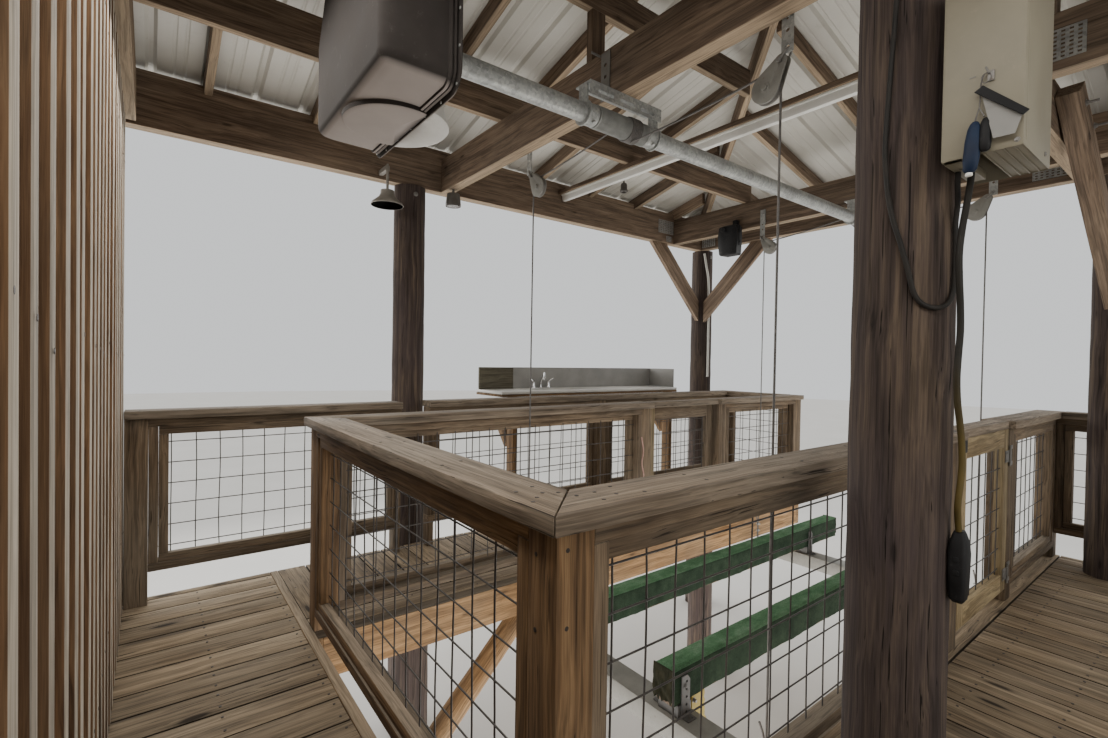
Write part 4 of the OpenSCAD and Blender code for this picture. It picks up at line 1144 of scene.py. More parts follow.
class Run:
    """A rail line: along x or y, at c, with its walkway on side +1 or -1."""

    def __init__(self, axis, c, side):
        self.axis, self.c, self.side = axis, c, side

    def block(self, s0, s1, n0, n1, z0, z1, along, **more):
        """A board between s0 and s1 along the line, n0 and n1 out towards the walkway."""
        n0, n1 = sorted((self.c + self.side * n0, self.c + self.side * n1))
        other = "y" if self.axis == "x" else "x"
        way = {"s": self.axis, "n": other, "z": "z"}[along]
        if self.axis == "x":
            return block((s0, n0, z0), (s1, n1, z1), way, **more)
        return block((n0, s0, z0), (n1, s1, z1), way, **more)

    def post(self, s, z0=0.0, **more):
        h = POST / 2
        return self.block(s - h, s + h, -h, h, z0, BELOW_CAP, "z", **more)

    def cap(self, s0, s1, mitre=(0, 0), **more):
        z = CAP_Z + LUM / 2
        a, b = (P(s, self.c, z) if self.axis == "x" else P(self.c, s, z) for s in (s0, s1))
        return board(a, b, 0.14, LUM, mitre=mitre, **more)

    def panel(self, s0, s1, zb, ends=(True, True), flat=POST / 2):
        """The two frames of one panel."""
        out = [self.block(s0, s1, -flat, flat, CAP_Z - LUM, BELOW_CAP, "s"),
               self.block(s0, s1, -flat, flat, zb, zb + LUM, "s"),
               *(self.block(s, s + LUM, -flat, flat, zb + LUM + HAIR, CAP_Z - LUM - HAIR, "z")
                 for s in (s0, s1 - LUM))]
        a, b = s0 + LUM + 0.002, s1 - LUM - 0.002
        out += [self.block(a, b, *STRIP, CAP_Z - DOUBLE, CAP_Z - LUM - HAIR, "s"),
                self.block(a, b, *STRIP, zb + LUM + HAIR, zb + DOUBLE, "s")]
        return out + [self.block(s, s + LUM, *STRIP, zb + DOUBLE + HAIR, CAP_Z - DOUBLE - HAIR, "z")
                      for s, wanted in zip((a, b - LUM), ends) if wanted]


Y_NR, Y_FR, Y_OR, Y_ON = Y_NEAR_E - 0.073, Y_FAR_E + 0.042, Y_FAR - 0.07, Y_NEAR + 0.07
X_HR, X_ER = X_SLIP + POST / 2, X_END - 0.05
GATE_N, GATE_F, GATE_W, GAP = X_SLIP + 2.132, X_SLIP + 2.092, 0.72, 0.01
H = POST / 2
head = Run("y", X_HR, -1)
near = Run("x", Y_NR, -1)
far = Run("x", Y_FR, 1)
out_far = Run("x", Y_OR, -1)
out_near = Run("x", Y_ON, 1)
end = Run("y", X_ER, -1)


def lay_rail(name, node, posts, caps, panels, frame_wood=rail_grey):
    """Joins a railing's posts and panels, and its caps, as two pieces."""
    piece(name + "_frames", posts + panels, frame_wood, nodes=[node], slot="rail_wood")
    piece(name + "_caps", caps, cap_wood, slot="rail_wood")


span_n, span_f = GATE_N + GATE_W + 2 * GAP, GATE_F + GATE_W + 2 * GAP
lay_rail("head_rail", "head_rail", [head.post(Y_NR, tone=0.55), head.post(Y_FR)],
         [head.cap(Y_NR + 0.0015, Y_FR - 0.0015, mitre=(-1, 1), tone=0.6)],
         head.panel(Y_NR + H, Y_FR - H, LOW, ends=(False, True)), rail_wood)
lay_rail("near_rail", "near_rail", [near.post(s) for s in (GATE_N - H, span_n + H, X_ER)],
         [near.cap(X_HR + 0.0025, GATE_N, mitre=(1.03, 0), tone=0.5), near.cap(span_n, X_ER + H)],
         near.panel(X_HR + H, GATE_N - POST, LOW, ends=(False, True))
         + near.panel(span_n + POST, X_ER - H, LOW))
lay_rail("far_rail", "far_rail", [far.post(s) for s in (GATE_F - H, span_f + H, X_ER)],
         [far.cap(X_HR + 0.0025, GATE_F, mitre=(-1, 0)), far.cap(span_f, X_ER + H)],
         far.panel(X_HR + H, GATE_F - POST, LOW) + far.panel(span_f + POST, X_ER - H, LOW))
print("slip rails laid")

# %% Outer rails
x0 = -0.09
PILE_A, PILE_B, PX_M = PX1 - PILE_R - 0.02, PX1 + PILE_R - 0.043, (PX1 + PX2) / 2
stops = [out_far.block(x, x + LUM, -H, H, 0.0, HIGH + LUM, "z", tone=0.6) for x in (PILE_A - LUM, PILE_B)]
lay_rail("outer_rail_far", "outer_rail_far", [out_far.post(s) for s in (x0 + H, PX_M)] + stops,
         [out_far.cap(x0, PILE_A), out_far.cap(PILE_B, X_ER - H)],
         out_far.panel(x0 + POST, PILE_A, HIGH) + out_far.panel(PILE_B, PX_M - H, HIGH)
         + out_far.panel(PX_M + H, X_ER - H, HIGH))
lay_rail("outer_rail_near", "outer_rail_near", [out_near.post(s) for s in (PX1, PX_M)],
         [out_near.cap(PX1 - H, X_ER - H)],
         out_near.panel(PX1 + H, PX_M - H, HIGH) + out_near.panel(PX_M + H, X_ER - H, HIGH))
lay_rail("end_rails", "end_rails", [end.post(Y_OR), end.post(Y_ON)],
         [end.cap(Y_FR + 0.07, Y_OR + 0.07), end.cap(Y_ON - 0.07, Y_NR - 0.07)],
         end.panel(Y_FR + H, Y_OR - H, HIGH) + end.panel(Y_ON + H, Y_NR - H, HIGH))
print("outer rails laid")


# %% [markdown]
# The mesh is welded wire, five millimetres thick on a hundred millimetre pitch. One wire is a slim
# cylinder cut along its length, so that a copy can be stretched and bent a little. The uprights sit
# behind the level wires and touch them, as welded mesh does.

# %% Wire mesh
drop()
bpy.ops.mesh.primitive_cylinder_add(vertices=6, radius=0.0025, depth=1)
first_wire = bpy.context.object
edit(first_wire, lambda: cut_across([i / 8 - 0.5 for i in range(1, 8)], (0, 0, 1)))
smooth(first_wire, 80)
WIRE = points(first_wire)


def wire(a, b, bend=0.002):
    a, b = Vector(a), Vector(b)
    along = (b - a).normalized()
    side = along.cross(Vector((0.2, 0.3, 1) if abs(along.z) < 0.9 else (0, 1, 0))).normalized()
    other = along.cross(side)
    t = WIRE[:, 2] + 0.5
    sway = np.sin(math.pi * t) * chance.uniform(-bend, bend)
    sway += np.sin(2 * math.pi * t) * chance.uniform(-bend, bend)
    co = (np.outer(WIRE[:, 0] + sway, side) + np.outer(WIRE[:, 1], other)
          + np.outer(t * (b - a).length, along))
    return put_points(twin(first_wire, "wire"), co + np.array(a))


MESH, CLAMPED = 0.1, 0.012


def mesh_sheet(axis, s0, s1, c, z0, z1):
    """The wires of one sheet, which reach a little behind the strips that clamp them."""
    def at(s, n, z):
        return P(s, c + n, z) if axis == "x" else P(c + n, s, z)

    out = []
    for i in range(int((s1 - s0) / MESH) + 1):
        s = s0 + MESH / 2 + MESH * i
        if s < s1 - 0.004:
            out.append(wire(at(s, 0.0012, z0 - CLAMPED), at(s, 0.0012, z1 + CLAMPED), 0.003))
    for i in range(int((z1 - z0) / MESH) + 1):
        z = z0 + 0.028 + MESH * i
        if z < z1:
            out.append(wire(at(s0 - CLAMPED, -0.003, z), at(s1 + CLAMPED, -0.003, z), 0.0035))
    return out


sheets = {
    "head_mesh": [("y", Y_NR + H, Y_FR - H - LUM, X_HR, LOW)],
    "near_mesh": [("x", X_HR + H, GATE_N - POST, Y_NR, LOW), ("x", span_n + POST, X_ER - H, Y_NR, LOW)],
    "far_mesh": [("x", X_HR + H, GATE_F - POST, Y_FR, LOW), ("x", span_f + POST, X_ER - H, Y_FR, LOW)],
    "outer_mesh_far": [("x", x0 + POST, PILE_A, Y_OR, HIGH), ("x", PILE_B, PX_M - H, Y_OR, HIGH),
                       ("x", PX_M + H, X_ER - H, Y_OR, HIGH), ("y", Y_FR + H, Y_OR - H, X_ER, HIGH)],
    "outer_mesh_near": [("x", PX1 + H, PX_M - H, Y_ON, HIGH), ("x", PX_M + H, X_ER - H, Y_ON, HIGH),
                        ("y", Y_ON + H, Y_NR - H, X_ER, HIGH)],
}
for node, spans in sheets.items():
    wires = [w for axis, s0, s1, c, low in spans
             for w in mesh_sheet(axis, s0 + LUM, s1 - LUM, c, low + DOUBLE, CAP_Z - DOUBLE)]
    piece(node + "_wires", wires, dark_wire, nodes=[node], slot="dark_wire")
    print(node, len(wires), "wires")


# %% [markdown]
# ## Gates
# Each gate is a light frame of newer, yellower wood with its own cap, set flush with the walkway's
# side of the railing; most of the far one has weathered. A gate rides on its own body, so it turns
# with its hinge in the frame's model.

# %% Gates
STILE = 0.076


def gate(name, node, body, run, s0, mats):
    """A gate of the run, from s0, with its mesh, cap and hinge halves."""
    frame_mat, cap_mat, low_mat = mats
    s1 = s0 + GATE_W
    n0, n1 = H - LUM, H
    stiles = [run.block(s, s + STILE, n0, n1, LOW, BELOW_CAP, "z") for s in (s0, s1 - STILE)]
    inner = (s0 + STILE + HAIR, s1 - STILE - HAIR)
    top = run.block(*inner, n0, n1, CAP_Z - POST, BELOW_CAP, "s")
    low = run.block(*inner, n0, n1, LOW, LOW + POST, "s", tone=0.9)
    cap = [run.block(s0, s1, -H, H, CAP_Z, CAP_TOP, "s")]
    piece(name + "_free_stile", stiles[:1], gate_wood, body, slot="gate_wood")
    piece(name + "_frame", stiles[1:] + [top], frame_mat, body, [node], "gate_wood")
    piece(name + "_low_board", [low], low_mat, body, slot="gate_wood")
    piece(name + "_cap", cap, cap_mat, body, slot="gate_wood")
    c = run.c + run.side * (H - LUM / 2)
    wires = mesh_sheet(run.axis, s0 + STILE, s1 - STILE, c, LOW + POST, CAP_Z - POST)
    piece(name + "_wires", wires, dark_wire, body, slot="dark_wire")
    iron, fixed = [], []
    n = run.c + run.side * (H + 0.006)
    m = run.c + run.side * (H + 0.0025)
    for z in (0.15, 0.74):
        for lo, hi, box in ((-0.03, 0.03, iron), (-0.0503, -0.0303, fixed), (0.0303, 0.0503, fixed)):
            box.append(bar(P(s1 + 0.005, n, z + lo), P(s1 + 0.005, n, z + hi), 0.006))
        iron.append(slab(P(s1 - 0.06, m - 0.0018, z - 0.029), P(s1 + 0.004, m + 0.0018, z + 0.029), 0.0008))
        for q in (-0.018, 0.018):
            iron += bolt(P(s1 - 0.044, m + run.side * 0.0018, z + q), (0, run.side, 0), 0.004, 0.003)
        for lo, hi in ((-0.05, -0.0305), (0.0305, 0.05)):
            fixed.append(slab(P(s1 + 0.006, m - 0.0018, z + lo), P(s1 + 0.06, m + 0.0018, z + hi), 0.0008))
    piece(name + "_hinge_leaves", iron, dull_steel, body, slot="steel")
    return fixed


post_leaves = gate("near_gate", "gate_near", "near_gate", near, GATE_N + GAP,
                   (gate_wood, cap_wood, gate_wood))
post_leaves += gate("far_gate", "gate_far", "far_gate", far, GATE_F + GAP, (rail_grey, cap_wood, gate_wood))
piece("hinge_leaves_on_posts", post_leaves, dull_steel, nodes=["gate_hinges"], slot="steel")
end_cap = slab(P(GATE_N + GAP - 0.001, near.c - H - 0.0015, CAP_Z - 0.062),
               P(GATE_N + GAP + 0.0775, near.c - H + LUM + 0.0012, CAP_Z - 0.001), 0.003)
dress(end_cap, black_plastic, "near_gate", slot="gate_wood")
rope = smooth_route([P(GATE_F - before, far.c - H - proud, z) for before, proud, z in
                     ((0.1, 0.006, 0.69), (0.085, 0.01, 0.6), (0.094, 0.008, 0.52), (0.078, 0.01, 0.44),
                      (0.088, 0.006, 0.38))], 8)
dress(solid(cord_curve("rope", rope, 0.009))[0], rope_pink, slot="rail_wood")
print("gates hung")


# %% [markdown]
# ## Roof
# Ribbed steel sheets run down each slope: a tall rib every nine inches with two low ones between.
# Each slope is a grid whose columns follow the rib profile. The grid is cut along the hips in edit
# mode, and the cut sheet gets its thickness last.

# %% Ribbed sheets
roof_lo, roof_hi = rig.box("roof_far")
RX0, RX1 = roof_lo.x - CORNER.x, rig.box("roof_end")[1].x - CORNER.x
HALF = roof_hi.y - CORNER.y - Y_RIDGE
RXR = RX1 - HALF
RIB = 0.2286
profile = [(0.0, 0.018), (0.01, 0.018), (0.024, 0.0), (0.083, 0.0), (0.088, 0.0035), (0.095, 0.0035),
           (0.1, 0.0), (0.128, 0.0), (0.133, 0.0035), (0.14, 0.0035), (0.145, 0.0), (0.205, 0.0),
           (0.219, 0.018)]


def ribs(a, b):
    """Rib profile between a and b as places and heights."""
    out = []
    n = math.floor(a / RIB)
    while n * RIB < b:
        out += [(n * RIB + u, h) for u, h in profile]
        n += 1
    places = np.array([u for u, h in out if a < u < b] + [a, b])
    order = np.argsort(places)
    heights = np.interp(places, [u for u, h in out], [h for u, h in out])
    return places[order], heights[order]


def slope(name, node, along, sign, a, b):
    """A slope whose ribs are spaced along x (the long slopes) or y (the hipped end)."""
    s, h = ribs(a, b)
    d = np.linspace(0, HALF, 6)
    o = grid(len(s) - 1, len(d) - 1)
    co = points(o)
    col = np.rint((co[:, 0] + 0.5) * (len(s) - 1)).astype(int)
    row = np.rint((co[:, 1] + 0.5) * (len(d) - 1)).astype(int)
    z = Z_RIDGE - ROOF_FALL * d[row] + h[col] + 0.0006
    if along == "x":
        xyz = np.stack([s[col], Y_RIDGE + sign * d[row], z], 1)
    else:
        xyz = np.stack([RXR + d[row], s[col], z], 1)
    put_points(o, xyz + np.array(CORNER))
    gap = 0.0015
    for shift, way in [(-gap, (1, -sign, 0))] if along == "x" else [(gap, (-1, 1, 0)), (gap, (-1, -1, 0))]:
        edit(o, lambda: bpy.ops.mesh.bisect(plane_co=P(RXR + shift, Y_RIDGE, 0), plane_no=way,
                                            clear_outer=True))
    edit(o, outward)
    modify(o, "SOLIDIFY", thickness=0.0008, offset=0)
    o.name = name
    return dress(smooth(o, 20), roof_pale, nodes=[node], slot="roof_metal")


slope("roof_sheets_far", "roof_far", "x", 1, RX0, RX1)
slope("roof_sheets_near", "roof_near", "x", -1, RX0, RX1)
slope("roof_sheets_end", "roof_end", "y", 1, Y_RIDGE - HALF, Y_RIDGE + HALF)


# %% Ridge cap, hip caps and trims
def strip(corners, thick=0.0008, name="strip"):
    """A thin plate with four corners."""
    o = grid(8, 1)
    co = points(o)
    u, v = co[:, :1] + 0.5, co[:, 1:2] + 0.5
    a, b, c, d = (np.array(q) for q in corners)
    put_points(o, (1 - v) * ((1 - u) * a + u * b) + v * ((1 - u) * d + u * c))
    modify(o, "SOLIDIFY", thickness=thick, offset=0)
    o.name = name
    return o


CAP_LIFT, BELOW_SHEET = 0.0193, -0.0012


def on_roof(x, y, lift=CAP_LIFT):
    """A point over the roof's slopes, or below them."""
    d = max(abs(y - Y_RIDGE), x - RXR)
    return P(x, y, Z_RIDGE - ROOF_FALL * d + lift)


caps, flashing = [], []
for sign in (1, -1):
    w = 0.11
    caps.append(strip([on_roof(RX0, Y_RIDGE), on_roof(RXR, Y_RIDGE),
                       on_roof(RXR, Y_RIDGE + sign * w), on_roof(RX0, Y_RIDGE + sign * w)]))
    foot = (RX1, Y_RIDGE + sign * HALF)
    top = (RXR, Y_RIDGE)
    caps.append(strip([on_roof(*top), on_roof(*foot), on_roof(foot[0] - 1.4 * w, foot[1]),
                       on_roof(top[0] - w, top[1] + sign * 0.02, 0.019)]))
    caps.append(strip([on_roof(*top), on_roof(*foot),
                       on_roof(foot[0], foot[1] - sign * 1.4 * w), on_roof(top[0] + 1.4 * w, top[1])]))
    off = 0.034
    flashing.append(strip([on_roof(top[0] + off + 0.1, top[1] + sign * 0.1, BELOW_SHEET),
                           on_roof(foot[0] - 0.05, foot[1] - sign * (off + 0.05), BELOW_SHEET),
                           on_roof(foot[0] - 0.05, foot[1] - sign * (off + 0.1), BELOW_SHEET),
                           on_roof(top[0] + off + 0.15, top[1] + sign * 0.1, BELOW_SHEET)]))
piece("roof_caps", caps, roof_pale, slot="roof_metal")
piece("hip_flashing", flashing, white_paint, slot="white_paint")
print("roof laid")

# %% [markdown]
# ## Boat lift
# One shaft runs over the slip from the drive cover. Near each lifting beam it carries a grooved drum
# between two sleeves. The drum's grooves are steps of its turned profile, and cable lies in some of
# them as a coil.

# %% Shaft, sleeves and drums
SHAFT_Z = HEAD_Z - 0.115
SHAFT_R = 0.0365
LB1, LB2 = X_SLIP + 0.962, PX2 - 0.51
TAIL = LB2 + 0.23
drum_x = (LB1 + 0.038, LB2 + 0.038)


def along_shaft(x, r=0.0, turn=0.0):
    return P(x, Y_MID + r * math.cos(turn), SHAFT_Z + r * math.sin(turn))


shaft_parts = [lathe("tube", [(SHAFT_R - 0.003, 0.0), (SHAFT_R, 0.002), (SHAFT_R, TAIL - X_RIM - 0.022),
                              (SHAFT_R - 0.003, TAIL - X_RIM - 0.02)], along_shaft(X_RIM + 0.02),
                     (1, 0, 0), 40)]
piece("drive_shaft", shaft_parts, galvanised, "winder", ["shaft"], "galvanised")
RIM_R, GROOVE_R, GROOVE_PITCH = 0.0455, 0.0425, 0.0064
lip = [(SHAFT_R, -0.145), (0.044, -0.1448), (RIM_R, -0.144), (RIM_R, -0.14)]
grooves = []
q = -0.139
while q < 0.134:
    grooves += [(RIM_R, q), (GROOVE_R, q + 0.0014), (GROOVE_R, q + 0.0036), (RIM_R, q + 0.005)]
    q += GROOVE_PITCH
drum_profile = lip + grooves + [(r, -t) for r, t in reversed(lip)]
sleeves, drums, coils = [], [], []
for x in drum_x:
    for a, b in ((-0.197, -0.1465), (0.1465, 0.197)):
        sleeves.append(lathe("sleeve", [(SHAFT_R, a), (0.042, a + 0.001), (0.043, a + 0.003),
                                        (0.043, b - 0.003), (0.042, b - 0.001), (SHAFT_R, b)],
                             along_shaft(x), (1, 0, 0), 40))
        sleeves += bolt(along_shaft(x + (a + b) / 2, 0.0426, -2.2), (0, math.cos(-2.2), math.sin(-2.2)),
                        0.009, 0.012)
    drums.append(lathe("drum", drum_profile, along_shaft(x), (1, 0, 0), 36))
for x, lead in ((drum_x[0], LB1 + 0.096), (drum_x[1], LB2 - 0.02)):
    turns = [along_shaft(lead + 0.034 - 0.0085 * k / 20, 0.048, 2 * math.pi * k / 20)
             for k in range(20 * 7)]
    coils.append(cord_curve("coil", turns, 0.0078))
piece("shaft_sleeves", sleeves, galvanised, "winder", slot="galvanised")
piece("grooved_drums", drums, drum_grey, "winder", ["winders"], "steel")
piece("wound_cable", solid(*coils), cable_steel, "winder", slot="steel")
print("drums turned:", len(drums))

# %% [markdown]
# The drums hang in brackets of slotted angle. The slots are real holes: an outline of two half
# circles is cut from the plate in a row, and a bolt sits in some of them.


# %% Slotted brackets
def prism(outline, z, high):
    """A solid with a flat outline, from z up."""
    drop()
    bpy.ops.mesh.primitive_circle_add(vertices=len(outline), radius=1, fill_type="NGON")
    o = bpy.context.object
    put_points(o, np.array([(x, y, z) for x, y in outline]))
    return edit(o, lambda: bpy.ops.mesh.extrude_region_move(TRANSFORM_OT_translate={"value": (0, 0, high)}),
                lambda: bpy.ops.mesh.select_all(action="SELECT"), outward)


def outline_plate(name, outline, thick, holes=()):
    """A flat plate in the xy plane from an outline, with slots cut through."""
    o = prism(outline, 0, thick)
    for hole in holes:
        carve(o, prism(hole, -thick, 3 * thick))
    o.name = name
    return o


def arc(r, t0, t1, steps, x=0.0, y=0.0, closed=False):
    """Points on an arc about (x, y) from one angle to another."""
    turns = np.linspace(t0, t1, steps, endpoint=not closed)
    return [(x + r * math.cos(t), y + r * math.sin(t)) for t in turns]


def slot_hole(x, y, l, r, steps=8):
    """A slot of length l and radius r along x."""
    quarter = math.pi / 2
    return (arc(r, -quarter, quarter, steps, x + l / 2 - r, y)
            + arc(r, quarter, 3 * quarter, steps, x - l / 2 + r, y))


def box_outline(x0, x1, y0, y1):
    return [(x0, y0), (x1, y0), (x1, y1), (x0, y1)]


def lay(o, origin, u=(1, 0, 0), v=(0, 0, 1)):
    """Moves a flat plate so that its x runs along u and its y along v."""
    u, v = Vector(u), Vector(v)
    axes = np.array([u, v, u.cross(v)])
    put_points(o, points(o) @ axes + np.array(origin))
    return o


TOP_PLATE_Z = HEAD_Z - 0.0078
BRACKET_X, BRACKET_PLATE = 0.205, 0.0075
brackets = []
for x in drum_x:
    top_plate = outline_plate("top", box_outline(-BRACKET_X, BRACKET_X, -0.045, 0.045), BRACKET_PLATE,
                              [slot_hole(q, y, 0.045, 0.006) for y in (0.018, -0.018)
                               for q in (-0.15, -0.09, 0.09, 0.15)])
    brackets.append(lay(top_plate, P(x, Y_MID, TOP_PLATE_Z), (1, 0, 0), (0, 1, 0)))
    for q in (-0.12, 0.12):
        brackets += bolt(P(x + q, Y_MID + 0.018, TOP_PLATE_Z), (0, 0, -1), 0.01, 0.009)
        brackets += bolt(P(x + q * 0.7, Y_MID - 0.018, TOP_PLATE_Z), (0, 0, -1), 0.01, 0.009)
    for e in (-0.205, 0.197):
        ring = arc(0.0372, 0, 2 * math.pi, 28, closed=True)
        around = arc(0.05, 2.1, 2 * math.pi + 1.04, 26)
        leg = outline_plate("leg", around + [(0.0253, 0.1068), (-0.0253, 0.1068)], BRACKET_PLATE, [ring])
        brackets.append(lay(leg, along_shaft(x + e + 0.0002), (0, 1, 0)))
    flange = outline_plate("flange", box_outline(-BRACKET_X, BRACKET_X, -0.048, 0.0), 0.005,
                           [slot_hole(q, -0.026, 0.085, 0.007) for q in (-0.12, 0.0, 0.12)])
    brackets.append(lay(flange, P(x, Y_MID - 0.0398, HEAD_Z - 0.0075)))
dress(ease(join(brackets, "slotted_brackets"), 0.0008), galvanised, nodes=["shaft_brackets"],
      slot="galvanised")
print("brackets cut")

# %% [markdown]
# The drive cover is a deep moulded box with rounded corners and a flange. Its outline is one closed
# line with arcs at the corners, offset inwards for the box and outwards for the flange.


# %% Drive cover
def round_outline(corners, radii, steps=6):
    """A closed outline with an arc at each corner."""
    out = []
    n = len(corners)
    for i in range(n):
        a, b, c = (Vector(corners[(i + k) % n]) for k in (-1, 0, 1))
        u, v = (a - b).normalized(), (c - b).normalized()
        half = u.angle(v) / 2
        r = radii[i]
        reach = r / math.tan(half)
        centre = b + (u + v).normalized() * r / math.sin(half)
        p, q = b + u * reach - centre, b + v * reach - centre
        turn = p.angle_signed(q)
        for k in range(steps + 1):
            t = -turn * k / steps
            out.append((centre.x + p.x * math.cos(t) - p.y * math.sin(t),
                        centre.y + p.x * math.sin(t) + p.y * math.cos(t)))
    return out


CY0, CY1, CZ0, CZ1 = Y_MID - 0.33, Y_MID + 0.35, HEAD_Z - 0.38, HEAD_Z + 0.26
XF = X_SLIP + 0.092


def cover_outline(d):
    """The cover's outline across and up, moved inwards by d."""
    corners = [(CY0 + d, CZ0 + d), (CY1 - d, CZ0 + d), (CY1 - d, CZ1 - 0.29 - 0.7 * d),
               (CY1 - 0.17 - 0.7 * d, CZ1 - d), (CY0 + d, CZ1 - d)]
    return round_outline(corners, [max(0.012, r - d) for r in (0.06, 0.06, 0.06, 0.06, 0.06)])


def loft(name, sections):
    """A skin over the cover's outline, given as pairs of a distance from the flange and an inset."""
    return skin(name, [[P(XF + x, y, z) for y, z in cover_outline(d)] for x, d in sections], 30)


shell = loft("shell", [(-0.2095, 0.05), (-0.206, 0.04), (-0.198, 0.031), (-0.185, 0.0255), (-0.16, 0.0225),
                       (-0.001, 0.0205)])
dress(shell, cover_paint, nodes=["drive_cover"], slot="cover_paint")
rim = loft("cover_rim", [(-0.0265, 0.0207), (-0.024, 0.0145), (-0.02, 0.013), (-0.016, 0.0145),
                         (-0.014, 0.019), (-0.012, 0.0145), (-0.008, 0.012), (-0.004, 0.014),
                         (-0.0015, 0.0175), (0.0002, 0.004), (0.0012, 0.0012), (0.003, 0.0),
                         (0.0048, 0.0012), (0.0058, 0.006)])
dress(rim, cover_paint, slot="cover_paint")
rim_screws = []
rim_places = [cover_outline(0.009)[i] for i in (3, 10, 17, 24, 31)]
rim_places += [(CY0 + 0.12 + 0.11 * k, CZ0 + 0.009) for k in range(5)]
rim_places += [(CY0 + 0.009, CZ0 + 0.12 + 0.1 * k) for k in range(5)]
for y, z in rim_places:
    rim_screws.append(lathe("screw", [(0.0045, 0), (0.004, 0.002), (0.0015, 0.0026)],
                            P(XF + 0.0002, y, z), (-1, 0, 0), 10))
piece("cover_screws", rim_screws, galvanised, slot="galvanised")
hanger_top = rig.box("drive_cover")[1].z - DECK
hanger = slab(P(XF - 0.06, Y_MID + 0.1351, CZ1 - 0.019), P(XF + 0.0055, Y_MID + 0.1429, hanger_top))
dress(hanger, galvanised, slot="galvanised")
print("cover:", len(shell.data.polygons), "faces")

# %% [markdown]
# A flat round bowl passes through the flange: behind it one sees the bowl's bottom and its tapering
# wall, in front of it only a low round step in the cover's underside. Both are turned as whole
# forms, then cut at the flange in edit mode, where the cut is filled.

# %% Round bowl and step
BOWL = (X_SLIP + 0.046, Y_MID + 0.0325)


def half_turned(name, profile, keep):
    """A form turned about an upright axis, cut at the flange, kept behind (1) or before it (-1)."""
    o = lathe(name, profile, P(*BOWL, CZ0), (0, 0, 1), 96)
    at = P(XF + (0.0063 if keep > 0 else -0.0005), 0, 0)
    return edit(o, lambda: bpy.ops.mesh.bisect(plane_co=at, plane_no=(-keep, 0, 0), use_fill=True,
                                               clear_outer=True))


bowl = half_turned("bowl", [(0.01, 0.0052), (0.12, 0.005), (0.152, 0.006), (0.164, 0.0095), (0.1695, 0.016),
                            (0.169, 0.02), (0.16, 0.052), (0.1335, 0.149), (0.01, 0.1495)], 1)
dress(bowl, wheel_pale, nodes=["bull_wheel"], slot="lamp_metal")
low_step = half_turned("cover_step", [(0.01, 0.0062), (0.14, 0.006), (0.149, 0.0066), (0.1535, 0.009),
                                   (0.1555, 0.022), (0.01, 0.024)], -1)
dress(low_step, cover_paint, slot="cover_paint")
print("bowl and step:", len(bowl.data.polygons), "and", len(low_step.data.polygons), "faces")


# %% [markdown]
# ## Pulleys and cables
# Four pulleys hang from straps on the lifting beams. Each has a grooved sheave between two pear-shaped
# cheeks, which lean away from the drum as the cable pulls them, an axle bolt, a shackle, and a strap
# up the side of the beam. The cable runs from the drum over the sheave and falls to the cradle.

# %% Pulleys
SHEAVE_Z, SHEAVE_R, CAB_R = HEAD_Z - 0.19, 0.045, 0.004
SH_X = (LB1 + 0.096, LB2 - 0.02)
SH_Y = (Y_FAR_E - 0.122, Y_NEAR_E + 0.147)
NOSE, LEAN = 0.085, math.radians(38)
CHEEK_R, NOSE_R, PLATE = 0.0505, 0.022, 0.0036
CHEEK_X = (-0.013, 0.0094)
swing = math.acos((CHEEK_R - NOSE_R) / NOSE)
pear = (arc(CHEEK_R, math.pi / 2 + swing, 5 * math.pi / 2 - swing, 26)
        + arc(NOSE_R, math.pi / 2 - swing, math.pi / 2 + swing, 10, y=NOSE))
pin_hole = arc(0.0055, 0, 2 * math.pi, 12, y=NOSE, closed=True)
half_sheave = [(0.008, -0.0088), (0.049, -0.0088), (0.0498, -0.0078), (0.0496, -0.0056), (0.0465, -0.0042),
               (0.0446, -0.0022)]
sheave = half_sheave + [(r, -t) for r, t in reversed(half_sheave)]
PULLEYS = [(x, y, strap_side, out) for x, strap_side in zip(SH_X, (-1, 1)) for y, out in zip(SH_Y, (1, -1))]
cheeks, wheels, straps, bows, pins = [], [], [], [], []
